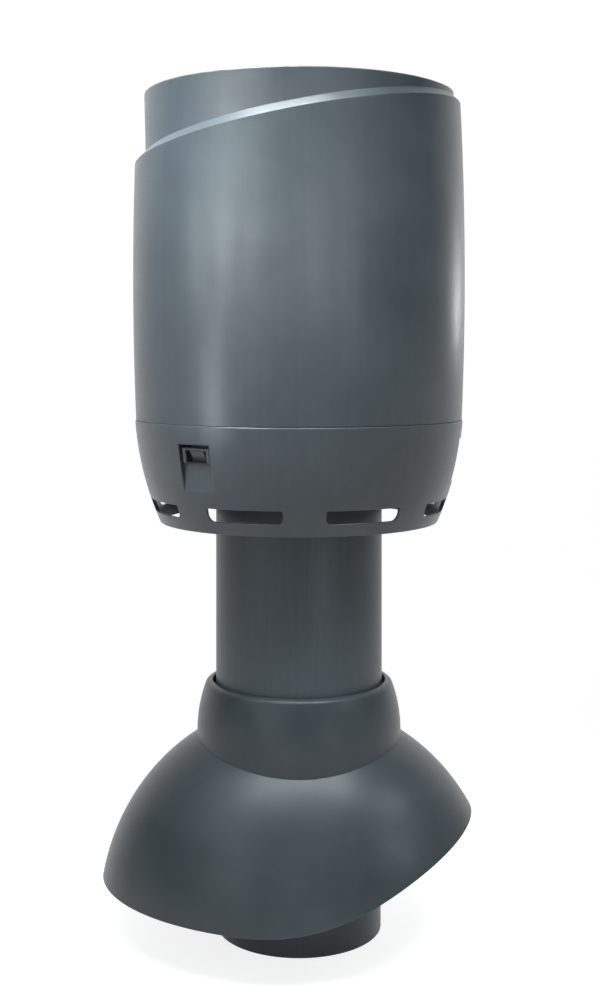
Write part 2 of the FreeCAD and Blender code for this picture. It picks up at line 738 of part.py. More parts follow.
def make_hood_shell(doc, dims):
    """Upper half of the hood: barrel, slanted ledge, open neck and three snap tongues."""
    outside, neck = hood_form(doc, dims, "shell_outside", ZERO)
    lip = dims["barrel_radius"] - dims["neck_step"] + dims["neck_flare"]
    rounded = round_edges(outside, "Fillet", "neck_lip", neck, dims["neck_rounding"],
                          lambda edge: is_ring(edge, lip.value, neck_top(dims).value))
    foot = barrel_radius(dims, dims["ring_top"])
    round_edges(outside, "Chamfer", "seam_bevel", rounded, dims["seam_bevel"],
                lambda edge: is_ring(edge, foot.value, dims["ring_top"].value))
    inside, _ = hood_form(doc, dims, "shell_inside", dims["shell_wall"])
    tongues = new_body(doc, "shell_tongues")
    front = latch_face(dims) - dims["latch_plate"] - dims["fit_gap"]
    back = front - dims["tongue_thickness"]
    hook = dims["ring_top"] + dims["upstand_height"] + dims["fit_gap"] * 2
    nose_face = loop_face(dims, dims["loop_top"]) - dims["nose_grip"]
    nose_high = dims["loop_top"] - dims["loop_bar"] - dims["fit_gap"]
    side = new_sketch(tongues, "tongue_section")
    draw_outline(side, [
        (back, dims["tongue_low"]), (front, dims["tongue_low"]), (front, hook),
        (dims["barrel_radius"], hook), (dims["barrel_radius"], dims["tongue_high"]),
        (back, hook + dims["tongue_thickness"])])
    pad = push(tongues, "Pad", "tongue", side, dims["tongue_width"], both=True)
    nose = new_sketch(tongues, "nose_section")
    draw_outline(nose, [
        (back, dims["nose_low"]), (front + dims["nose_foot"], dims["nose_low"]), (nose_face, nose_high),
        (back, nose_high)])
    catch = push(tongues, "Pad", "nose", nose, dims["nose_width"], both=True)
    pattern(tongues, "tongues", [pad, catch], dims["latch_count"])
    mid = dims["shell_wall"] / 2
    far = dims["cutter_reach"]
    above = dims["tongue_high"] + dims["overrun"]
    spin(tongues, "Groove", "tongue_trim", [
        (barrel_radius(dims, dims["ring_top"]) - mid, dims["ring_top"], dims["barrel_bulge_radius"], 1),
        (barrel_radius(dims, above) - mid, above), (far, above), (far, dims["ring_top"])])
    hollow = combine(doc, "Cut", "shell_hollow", outside, inside)
    shell = combine(doc, "Fuse", "hood_shell", hollow, tongues)
    turn_hood(shell, dims)
    return shell


def cap_arc(dims):
    """Radius and centre height of the rain cap's top."""
    radius = (dims["cap_radius"] * dims["cap_radius"] + dims["cap_rise"] * dims["cap_rise"]) / (dims["cap_rise"] * 2)
    return radius, dims["cap_edge"] + dims["cap_rise"] - radius


def cap_height(dims, across, inset):
    """Height of the cap's top, or of the surface that lies inset under it, at a distance from the axis."""
    radius, centre = cap_arc(dims)
    reach = radius - inset
    return centre + root(reach * reach - across * across)


def make_rain_cap(doc, dims):
    """Domed cap over the pipe's mouth, on three legs with screwed feet."""
    body = new_body(doc, "rain_cap")
    radius = dims["cap_radius"]
    edge = dims["cap_edge"]
    wall = dims["cap_wall"]
    seat = dims["pipe_top"] + dims["socket_stop"]
    leg_outer = radius - dims["leg_inset"]
    leg_inner = leg_outer - dims["leg_width"]
    leg = new_sketch(body, "leg_section")
    draw_outline(leg, [
        (-leg_outer, seat), (-leg_inner, seat), (-leg_inner, cap_height(dims, leg_inner, wall / 2)),
        (-leg_outer, cap_height(dims, leg_outer, wall / 2))])
    leg_pad = push(body, "Pad", "leg", leg, dims["leg_thickness"], both=True)
    foot = new_sketch(body, "foot_section", "XY_Plane", lift=seat)
    half = dims["foot_width"] / 2
    draw_outline(foot, box_corners(-lug_reach(dims), -leg_inner, -half, half))
    foot_pad = push(body, "Pad", "foot", foot, dims["foot_thickness"])
    pattern(body, "legs", [leg_pad, foot_pad], dims["leg_count"])
    bend, _ = cap_arc(dims)
    spin(body, "Revolution", "cap", [
        (ZERO, edge + dims["cap_rise"] - wall, bend - wall, -1),
        (radius - wall, cap_height(dims, radius - wall, wall)),
        (radius - wall, edge - dims["cap_drip"]), (radius, edge - dims["cap_drip"]),
        (radius, edge, bend, 1), (ZERO, edge + dims["cap_rise"])])
    hole = new_sketch(body, "foot_hole", "XY_Plane", lift=seat + dims["foot_thickness"] + dims["overrun"])
    draw_circle(hole, dims["screw_radius"] + dims["hole_gap"], -cap_screw_radius(dims))
    cut = push(body, "Pocket", "foot_hole_cut", hole, dims["cutter_reach"])
    pattern(body, "foot_holes", [cut], dims["leg_count"])
    turn_hood(body, dims)
    return body


def screw_half(dims, seat):
    """Half-section of a pan-head self-tapping screw: (along its axis, across it), tip first."""
    tip = seat - dims["screw_length"]
    return [(tip, ZERO), (tip + dims["screw_tip"], dims["screw_radius"]), (seat, dims["screw_radius"]),
            (seat, dims["screw_head_radius"]), (seat + dims["screw_head"], dims["screw_flat"]),
            (seat + dims["screw_head"], ZERO)]


def turn_screws(doc, dims, name, sketch_of, corners, axis, count):
    """Turns one screw from its half-section and repeats it round the pipe."""
    body = new_body(doc, name)
    body.AllowCompound = True
    sketch = sketch_of(body)
    draw_outline(sketch, corners)
    screw = body.newObject("PartDesign::Revolution", name + "_turned")
    screw.Profile = sketch
    screw.ReferenceAxis = (sketch, [axis])
    screw.Angle = 360
    pattern(body, name + "_all", [screw], count)
    return body


def make_radial_screws(doc, dims, name, height, turn):
    """A ring of screws that point at the pipe's axis, with their heads on the sleeve."""
    def place(body):
        sketch = new_sketch(body, name + "_half", turn=turn)
        tie(sketch, "AttachmentOffset.Base.y", height)
        return sketch

    corners = screw_half(dims, sleeve_radius(dims))
    corners[3] += (dims["screw_crown_radius"], -1)
    return turn_screws(doc, dims, name, place, corners, "H_Axis", dims["radial_screw_count"])


def make_skirt_screws(doc, dims):
    """Screws through the skirt's guide sleeve into the pipe, within reach from under the dome."""
    return make_radial_screws(doc, dims, "skirt_screws", dims["skirt_screw_height"], dims["skirt_screw_turn"])


def make_hood_screws(doc, dims):
    """Screws through the hood's socket into the pipe, each behind a drain slot."""
    screws = make_radial_screws(doc, dims, "hood_screws", dims["hood_screw_height"], dims["slot_phase"])
    turn_hood(screws, dims)
    return screws


def make_cap_screws(doc, dims):
    """Upright screws through the rain cap's feet into the lugs, just outside the cap's edge."""
    def place(body):
        sketch = new_sketch(body, "cap_screws_half")
        tie(sketch, "AttachmentOffset.Base.x", -cap_screw_radius(dims))
        return sketch

    seat = dims["pipe_top"] + dims["socket_stop"] + dims["foot_thickness"]
    corners = [(across, along) for along, across in screw_half(dims, seat)]
    corners[3] += (dims["screw_crown_radius"], 1)
    screws = turn_screws(doc, dims, "cap_screws", place, corners, "V_Axis", dims["leg_count"])
    turn_hood(screws, dims)
    return screws


def check(doc):
    """Stops if any object failed or left no valid shape."""
    for thing in doc.Objects:
        if "Invalid" in thing.State or "Error" in thing.State:
            raise RuntimeError("%s failed: %s" % (thing.Name, thing.State))
    return doc


def main():
    doc = FreeCAD.newDocument("roof_vent_pipe")
    dims = make_sheet(doc)
    makers = (make_vent_pipe, make_roof_skirt, make_collar_seal, make_hood_base, make_socket_seal,
              make_hood_shell, make_rain_cap, make_skirt_screws, make_hood_screws, make_cap_screws)
    nodes = [maker(doc, dims) for maker in makers]
    doc.recompute()
    check(doc)
    os.makedirs("parts", exist_ok=True)
    for node in nodes:
        shape = node.Shape
        if shape.isNull() or not shape.isValid():
            raise RuntimeError("%s has no valid shape" % node.Label)
    for node in nodes:
        node.Shape.exportStep("parts/%s.step" % node.Label)
        print(node.Label, "solids", len(node.Shape.Solids), "volume", round(node.Shape.Volume))


main()
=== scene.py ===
"""Roof vent pipe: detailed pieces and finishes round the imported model, in metres once made.

Sizes are in millimetres and angles in degrees. +Z runs up the pipe, +X to the roof's uphill side, and -Y
is the side that the photograph shows. The hood is built unturned and then turned about the pipe.
"""

import logging
import math
from dataclasses import dataclass, field
from enum import Enum
from typing import Callable, Optional, Sequence, Union

import bmesh
import bpy
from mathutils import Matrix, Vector


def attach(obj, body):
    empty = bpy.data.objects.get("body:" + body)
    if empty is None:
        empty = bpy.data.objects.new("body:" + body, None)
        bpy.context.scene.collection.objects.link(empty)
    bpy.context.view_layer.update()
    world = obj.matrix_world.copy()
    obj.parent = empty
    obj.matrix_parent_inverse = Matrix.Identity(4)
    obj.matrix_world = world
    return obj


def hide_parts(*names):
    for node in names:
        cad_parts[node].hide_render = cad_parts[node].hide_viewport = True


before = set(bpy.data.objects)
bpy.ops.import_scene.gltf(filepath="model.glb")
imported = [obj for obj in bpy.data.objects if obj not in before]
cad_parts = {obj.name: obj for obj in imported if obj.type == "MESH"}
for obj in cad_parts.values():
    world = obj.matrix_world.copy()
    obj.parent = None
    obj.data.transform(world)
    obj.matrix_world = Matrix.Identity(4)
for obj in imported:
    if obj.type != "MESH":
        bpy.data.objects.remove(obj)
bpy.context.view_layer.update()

log = logging.getLogger("roof_vent_pipe")

MM = 0.001
# Points closer than this, in metres, become one. Edges that bend by more than the angle stay sharp.
WELD = 2e-6
SHARP_ANGLE = 35.0
# What is swept round the pipe has a section every so many degrees.
STEP = 1.5
TURNS = round(360 / STEP)
CORNER_STEPS = 4
# Share of a section's side that the rounding of its corners may take.
ROUNDED_SHARE = 0.98
# A sharp corner is inset by at most its distance over this.
MITRE_LIMIT = 0.3
# Where a bevel is softened, as a share of its width.
BEVEL_SOFTENING = 0.29
# Ribs, webs and tongues reach this far into what carries them.
ROOTED = 1.0
# A curved side has its first point this far from a rounded corner.
RUN_IN = 3.0

Point = tuple[float, float, float]
Section = list[tuple[float, float]]
Loop = list[Point]
Tree = bpy.types.NodeTree
Socket = bpy.types.NodeSocket


@dataclass(frozen=True)
class Corner:
    """A corner of a section, with the radius that rounds it."""

    across: float
    up: float
    rounding: float = 0.0
    steps: int = CORNER_STEPS


@dataclass(frozen=True)
class Bulge:
    """A side that bulges outwards as an arc.

    Attributes:
        widest: Its largest distance from the axis.
        height: Where it is widest.
        bend: Radius of the arc.
    """

    widest: float
    height: float
    bend: float

    def at(self, up: float) -> float:
        """Distance from the axis at a height."""
        return self.widest - self.bend + math.sqrt(self.bend ** 2 - (up - self.height) ** 2)


class Facing(Enum):
    """Which way a slab's thickness runs: where x, y and z stand in its outline's two values and its depth."""

    SIDEWAYS = (0, 2, 1)
    UPWARD = (0, 1, 2)
    OUTWARD = (2, 0, 1)


def spaced(first: float, last: float, count: int) -> list[float]:
    """Evenly spaced numbers, both ends included."""
    return [first + (last - first) * index / (count - 1) for index in range(count)]


def read_off(line: Section, place: float) -> float:
    """Reads a bent line off at a place.

    Args:
        line: Its places in rising order, each with its value.
        place: Where to read it.

    Returns:
        The value there, or that of the nearest end.
    """
    if place <= line[0][0]:
        return line[0][1]
    for (first, low), (last, high) in zip(line, line[1:]):
        if place <= last:
            return low + (high - low) * (place - first) / (last - first)
    return line[-1][1]


def round_polar(radius: float, degrees: float, up: float) -> Point:
    """Point at a distance from the axis, a turn about it and a height."""
    turn = math.radians(degrees)
    return radius * math.cos(turn), radius * math.sin(turn), up


def turned_by(point: Point, degrees: float) -> Point:
    """The point, turned about the axis."""
    turn = math.radians(degrees)
    cosine, sine = math.cos(turn), math.sin(turn)
    return point[0] * cosine - point[1] * sine, point[0] * sine + point[1] * cosine, point[2]


def rounded(corners: Sequence[Corner], closed: bool = True) -> Section:
    """Draws a section with its corners rounded.

    Args:
        corners: The corners in order.
        closed: Whether the last joins the first.

    Returns:
        The section's points, as many for any corners with the same steps.
    """
    section: Section = []
    count = len(corners)
    for index, corner in enumerate(corners):
        here = Vector((corner.across, corner.up))
        if corner.rounding <= 0 or (not closed and index in (0, count - 1)):
            section.append((corner.across, corner.up))
            continue
        before, after = corners[index - 1], corners[(index + 1) % count]
        back = Vector((before.across, before.up)) - here
        ahead = Vector((after.across, after.up)) - here
        angle = back.angle(ahead)
        shares = [ROUNDED_SHARE / (2 if other.rounding > 0 else 1) for other in (before, after)]
        reach = min(corner.rounding / math.tan(angle / 2), back.length * shares[0], ahead.length * shares[1])
        back.normalize()
        ahead.normalize()
        centre = here + (back + ahead).normalized() * reach / math.cos(angle / 2)
        start, end = here + back * reach - centre, here + ahead * reach - centre
        sweep = start.angle(end)
        for step in range(corner.steps + 1):
            part = step / corner.steps
            spot = centre + (start * math.sin((1 - part) * sweep) + end * math.sin(part * sweep)) / math.sin(sweep)
            section.append((spot.x, spot.y))
    return section


def inset(outline: Section, distance: float) -> Section:
    """Moves each side of a closed outline inwards.

    Args:
        outline: The outline's points in order.
        distance: How far each side moves.

    Returns:
        As many points as the outline has.
    """
    count = len(outline)
    area = sum(outline[i][0] * outline[(i + 1) % count][1] - outline[(i + 1) % count][0] * outline[i][1]
               for i in range(count))
    side = math.copysign(1.0, area)
    moved: Section = []
    for index in range(count):
        here = Vector(outline[index])
        back = (here - Vector(outline[index - 1])).normalized()
        ahead = (Vector(outline[(index + 1) % count]) - here).normalized()
        normal = Vector((-back.y - ahead.y, back.x + ahead.x)) * side
        normal.normalize()
        stretch = max(MITRE_LIMIT, normal.dot(Vector((-back.y, back.x)) * side))
        spot = here + normal * distance / stretch
        moved.append((spot.x, spot.y))
    return moved


def put(name: str, data: bpy.types.ID) -> bpy.types.Object:
    """Puts an object with this data in the scene.

    Args:
        name: The object's name.
        data: Its mesh, light or camera.

    Returns:
        The object.
    """
    thing = bpy.data.objects.new(name, data)
    bpy.context.scene.collection.objects.link(thing)
    return thing


class Moulding:
    """Collects the points and faces of one piece and makes it an object."""

    def __init__(self) -> None:
        """Starts with nothing."""
        self.points: list[Point] = []
        self.faces: list[tuple[int, ...]] = []

    def join(self, loops: Sequence[Loop], ring: bool = True, chain: bool = False,
             gap: Optional[Callable[[int, int], bool]] = None) -> None:
        """Joins neighbouring loops, which have as many points each, with faces.

        Args:
            loops: The loops in order.
            ring: Whether each loop closes on itself.
            chain: Whether the last loop joins the first.
            gap: Says for a loop's and a point's number whether the face there is left out.
        """
        first, rows, columns = len(self.points), len(loops), len(loops[0])
        for loop in loops:
            self.points.extend(loop)
        for row in range(rows if chain else rows - 1):
            for column in range(columns if ring else columns - 1):
                if gap and gap(row, column):
                    continue
                here, below = first + row * columns, first + (row + 1) % rows * columns
                beside = (column + 1) % columns
                self.faces.append((here + column, here + beside, below + beside, below + column))

    def cap(self, loop: Loop) -> None:
        """Closes a loop with one face."""
        first = len(self.points)
        self.points.extend(loop)
        self.faces.append(tuple(range(first, len(self.points))))

    def turn(self, section: Union[Section, Callable[[float], Section]], closed: bool = True,
             gap: Optional[Callable[[int, int], bool]] = None) -> None:
        """Sweeps a section round the axis.

        Args:
            section: The section, or what gives it for a turn about the axis.
            closed: Whether the section closes on itself.
            gap: As for join, with the turn's number first.
        """
        loops = []
        for degrees in (index * 360 / TURNS for index in range(TURNS)):
            spots = section(degrees) if callable(section) else section
            loops.append([round_polar(across, degrees, up) for across, up in spots])
        self.join(loops, ring=closed, chain=True, gap=gap)

    def slab(self, outline: Section, facing: Facing, near: float, far: float, degrees: float,
             bevel: float = 0.3) -> None:
        """Makes a flat slab with bevelled edges.

        Args:
            outline: Its outline, seen along its thickness.
            facing: The way its thickness runs.
            near: Where its thickness starts.
            far: Where its thickness ends.
            degrees: Turn about the axis.
            bevel: Width of the bevel.
        """
        def placed(section: Section, depth: float) -> Loop:
            """The section at one depth of the slab, turned."""
            return [turned_by([(*spot, depth)[part] for part in facing.value], degrees) for spot in section]

        soft = bevel * BEVEL_SOFTENING
        small, middle = inset(outline, bevel), inset(outline, soft)
        loops = [placed(small, near), placed(middle, near + soft), placed(outline, near + bevel),
                 placed(outline, far - bevel), placed(middle, far - soft), placed(small, far)]
        self.join(loops)
        self.cap(loops[0])
        self.cap(loops[-1])

    def make(self, name: str, finish: "Finish", node: str, slot: str, turn: float = 0.0) -> None:
        """Makes the piece, which then stands for its node.

        Args:
            name: The piece's name.
            finish: Its finish.
            node: The node that it replaces.
            slot: The record's material slot. Not used.
            turn: Turn about the axis.
        """
        mesh = bpy.data.meshes.new(name)
        spots = [tuple(value * MM for value in turned_by(point, turn)) for point in self.points]
        mesh.from_pydata(spots, [], self.faces)
        work = bmesh.new()
        work.from_mesh(mesh)
        bmesh.ops.remove_doubles(work, verts=work.verts, dist=WELD)
        bmesh.ops.dissolve_degenerate(work, edges=work.edges, dist=WELD)
        bmesh.ops.recalc_face_normals(work, faces=work.faces)
        work.to_mesh(mesh)
        work.free()
        mesh.shade_smooth()
        mesh.set_sharp_from_angle(angle=math.radians(SHARP_ANGLE))
        piece = put(name, mesh)
        normals = piece.modifiers.new("even_shading", "WEIGHTED_NORMAL")
        normals.keep_sharp = True
        mesh.materials.append(finish.make())
        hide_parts(node)
        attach(piece, "root")
        log.info("%s stands for %s: %d faces", name, node, len(mesh.polygons))


# ---------------------------------------------------------------------------------------------- finishes

def linear(colour: str) -> tuple[float, float, float, float]:
    """Turns an sRGB hex colour into linear light.

    Args:
        colour: Such as #4a5157.

    Returns:
        Red, green, blue and full cover.
    """
    parts = [int(colour[start:start + 2], 16) / 255 for start in (1, 3, 5)]
    light = [part / 12.92 if part <= 0.04045 else ((part + 0.055) / 1.055) ** 2.4 for part in parts]
    return light[0], light[1], light[2], 1.0


def add_node(tree: Tree, kind: str, inputs: Optional[dict] = None, **settings) -> bpy.types.Node:
    """Adds a node with its settings and links.

    Args:
        tree: The tree that it goes in.
        kind: Blender's name for the node's type.
        inputs: For each input's name or number, another node's output or a value.
        settings: Properties of the node.

    Returns:
        The node.
    """
    node = tree.nodes.new(kind)
    for name, value in settings.items():
        setattr(node, name, value)
    for name, value in (inputs or {}).items():
        if isinstance(value, Socket):
            tree.links.new(value, node.inputs[name])
        else:
            node.inputs[name].default_value = value
    return node


def noise(tree: Tree, place: Socket, width: float, detail: float, roughness: float = 0.5) -> Socket:
    """Adds a noise pattern.

    Args:
        tree: The tree that it goes in.
        place: Where it is read.
        width: Width of what it shows, in millimetres.
        detail: How many finer layers it has.
        roughness: How much the finer layers count.

    Returns:
        The pattern, between 0 and 1.
    """
    pattern = add_node(tree, "ShaderNodeTexNoise", {
        "Vector": place, "Scale": 1 / (width * MM), "Detail": detail, "Roughness": roughness})
    return pattern.outputs["Fac"]


def ranged(tree: Tree, value: Socket, source: tuple[float, float] = (0.0, 1.0),
           result: tuple[float, float] = (0.0, 1.0), kind: str = "LINEAR") -> Socket:
    """Maps a value from one range to another.

    Args:
        tree: The tree that the node goes in.
        value: The value.
        source: The range that it comes from.
        result: The range that it goes to.
        kind: Blender's name for the way between the ends.

    Returns:
        The mapped value.
    """
    change = add_node(tree, "ShaderNodeMapRange", {
        "Value": value, "From Min": source[0], "From Max": source[1], "To Min": result[0], "To Max": result[1]},
        interpolation_type=kind)
    return change.outputs["Result"]


def blend(tree: Tree, share: Socket, first: str, second: str) -> Socket:
    """Mixes two hex colours."""
    mix = add_node(tree, "ShaderNodeMix", {0: share, 6: linear(first), 7: linear(second)}, data_type="RGBA")
    return mix.outputs[2]


def relief(tree: Tree, pattern: Socket, height: float) -> Socket:
    """Raises a pattern to a height in millimetres, and gives the normals."""
    bump = add_node(tree, "ShaderNodeBump", {"Height": pattern, "Distance": height * MM, "Strength": 1.0})
    return bump.outputs["Normal"]


def larger(tree: Tree, first: Socket, second: Socket) -> Socket:
    """Picks the larger of two values."""
    return add_node(tree, "ShaderNodeMath", {0: first, 1: second}, operation="MAXIMUM").outputs[0]


def coat(tree: Tree, inputs: dict) -> None:
    """Gives the material its shader, with these inputs."""
    shader = add_node(tree, "ShaderNodeBsdfPrincipled", inputs)
    add_node(tree, "ShaderNodeOutputMaterial", {"Surface": shader.outputs["BSDF"]})


@dataclass(frozen=True)
class Finish:
    """A finish that makes its material once and hands it out after that."""

    name: str

    def make(self) -> bpy.types.Material:
        """Makes the material, or finds it.

        Returns:
            The material.
        """
        known = bpy.data.materials.get(self.name)
        if known:
            return known
        material = bpy.data.materials.new(self.name)
        material.use_nodes = True
        material.node_tree.nodes.clear()
        self.dress(material.node_tree)
        return material

    def dress(self, tree: Tree) -> None:
        """Builds the finish's nodes.

        Args:
            tree: The empty tree of its material.
        """
        raise NotImplementedError


@dataclass(frozen=True)
class GrainedPlastic(Finish):
    """Moulded or extruded plastic: a fine grain, faint clouds from the melt and streaks along the draw.

    Attributes:
        dark: Colour where the clouds are dark.
        light: Colour where they are light.
        roughness: Middle of its roughness.
        grain: Width of the grain.
        grain_height: Height of the grain.
        cloud: Width of the clouds.
        streak: Width of the streaks.
        streak_share: How much of the colour the streaks steer, the rest being the clouds.
        gloss: The shader's specular level.
        swing: How far the roughness strays from its middle.
        squeeze: The streaks' pattern is scaled by this along the pipe, which draws them long.
        contrast: Values of the pattern at which the colour is dark and light.
        grain_contrast: Values of the grain at which the surface is glossiest and dullest.
    """

    dark: str
    light: str
    roughness: float
    grain: float
    grain_height: float
    cloud: float
    streak: float
    streak_share: float
    gloss: float = 0.5
    swing: float = 0.06
    squeeze: float = 0.03
    contrast: tuple[float, float] = (0.35, 0.65)
    grain_contrast: tuple[float, float] = (0.3, 0.7)

    def dress(self, tree: Tree) -> None:
        """Builds the finish's nodes.

        Args:
            tree: The empty tree of its material.
        """
        place = add_node(tree, "ShaderNodeTexCoord").outputs["Object"]
        drawn = add_node(tree, "ShaderNodeMapping", {"Vector": place, "Scale": (1.0, 1.0, self.squeeze)})
        grain = noise(tree, place, self.grain, 3.0, 0.6)
        cloud = noise(tree, place, self.cloud, 4.0, 0.55)
        streak = noise(tree, drawn.outputs["Vector"], self.streak, 2.0)
        shade = add_node(tree, "ShaderNodeMix", {0: self.streak_share, 2: cloud, 3: streak}, data_type="FLOAT")
        spread = ranged(tree, shade.outputs[0], self.contrast)
        dull = ranged(tree, grain, self.grain_contrast, (self.roughness - self.swing, self.roughness + self.swing))
        coat(tree, {
            "Base Color": blend(tree, spread, self.dark, self.light), "Roughness": dull,
            "Normal": relief(tree, grain, self.grain_height), "IOR": 1.49, "Specular IOR Level": self.gloss})


@dataclass(frozen=True)
class MouldedRubber(Finish):
    """EPDM sealing rubber, moulded: matt and nearly black, with a bloom that greys it in patches."""

    dark: str = "#1b1c1d"
    bloom: str = "#2b2c2d"
    roughness: float = 0.72
    speck: float = 1.6
    speck_height: float = 0.05

    def dress(self, tree: Tree) -> None:
        """Builds the finish's nodes.

        Args:
            tree: The empty tree of its material.
        """
        place = add_node(tree, "ShaderNodeTexCoord").outputs["Object"]
        speck = noise(tree, place, self.speck, 3.0)
        coat(tree, {
            "Base Color": blend(tree, speck, self.dark, self.bloom), "Roughness": self.roughness,
            "Normal": relief(tree, speck, self.speck_height), "IOR": 1.52})


@dataclass(frozen=True)
class RolledSteel(Finish):
    """Stainless steel screws, cold-headed and thread-rolled: bright, with fine scuffs from the tools."""

    bright: str = "#c9c8c4"
    scuffed: str = "#a9a8a5"
    roughness: float = 0.3
    swing: tuple[float, float] = (-0.1, 0.15)
    scuff: float = 0.6

    def dress(self, tree: Tree) -> None:
        """Builds the finish's nodes.

        Args:
            tree: The empty tree of its material.
        """
        place = add_node(tree, "ShaderNodeTexCoord").outputs["Object"]
        scuff = noise(tree, place, self.scuff, 4.0)
        dull = ranged(tree, scuff, result=(self.roughness + self.swing[0], self.roughness + self.swing[1]))
        coat(tree, {
            "Base Color": blend(tree, scuff, self.bright, self.scuffed), "Roughness": dull, "Metallic": 1.0})


# Polypropylene roof fittings are coloured through in graphite grey. The hood's mould is spark-eroded, which
# leaves an even grain that spreads its highlights wide. The grain is drawn wider than its real 0.3 mm, so
# that it shows at the photograph's size.
HOOD_PLASTIC = GrainedPlastic("hood_grained_polypropylene", dark="#484f54", light="#525a5f", roughness=0.34,
                              grain=1.2, grain_height=0.025, cloud=42.0, streak=3.5, streak_share=0.2)
# The skirt comes from a mould with a finer, duller grain, so its shoulder shines less and the form reads a little
# darker.
# Its colours are painted shade: the same graphite as the hood, set darker to stand in for the dimmer light on the
# skirt.
SKIRT_PLASTIC_PAINTED_SHADE = GrainedPlastic("skirt_moulded_polypropylene_painted_shade", dark="#3b4145", light="#43494d", roughness=0.36,
                               grain=1.0, grain_height=0.02, cloud=30.0, streak=5.0, streak_share=0.1, gloss=0.35)
# The pipe is extruded, which draws fine lines along it and leaves it the dullest of the three.
PIPE_PLASTIC = GrainedPlastic("pipe_extruded_polypropylene", dark="#53595d", light="#585f63", roughness=0.4,
                              grain=1.0, grain_height=0.012, cloud=60.0, streak=1.4, streak_share=0.5, gloss=0.25)
SEAL_RUBBER = MouldedRubber("seal_moulded_rubber")
SCREW_STEEL = RolledSteel("screw_rolled_stainless_steel")


# ------------------------------------------------------------------------------------------------ pieces

@dataclass
class VentPipe:
    """The extruded pipe, drawn in at its lower end so that a socket slips on."""

    radius: float = 55.0
    wall: float = 3.4
    top: float = 326.0
    bevel: float = 1.2
    spigot_length: float = 38.0
    spigot_step: float = 0.7
    spigot_slope: float = 2.0

    def section(self) -> Section:
        """Section through the wall.

        Returns:
            The closed section.
        """
        inner, outer = self.radius - self.wall, self.radius
        spigot = outer - self.spigot_step
        return rounded([
            Corner(inner, 0.0, 0.3), Corner(spigot, 0.0, 0.25), Corner(spigot, self.spigot_length),
            Corner(outer, self.spigot_length + self.spigot_slope), Corner(outer, self.top - self.bevel, 0.4),
            Corner(outer - self.bevel, self.top, 0.4), Corner(inner, self.top, 0.3)])

    def build(self) -> None:
        """Makes the pipe."""
        pipe = Moulding()
        pipe.turn(self.section())
        pipe.make("pipe_tube", PIPE_PLASTIC, "vent_pipe", "pipe_plastic")


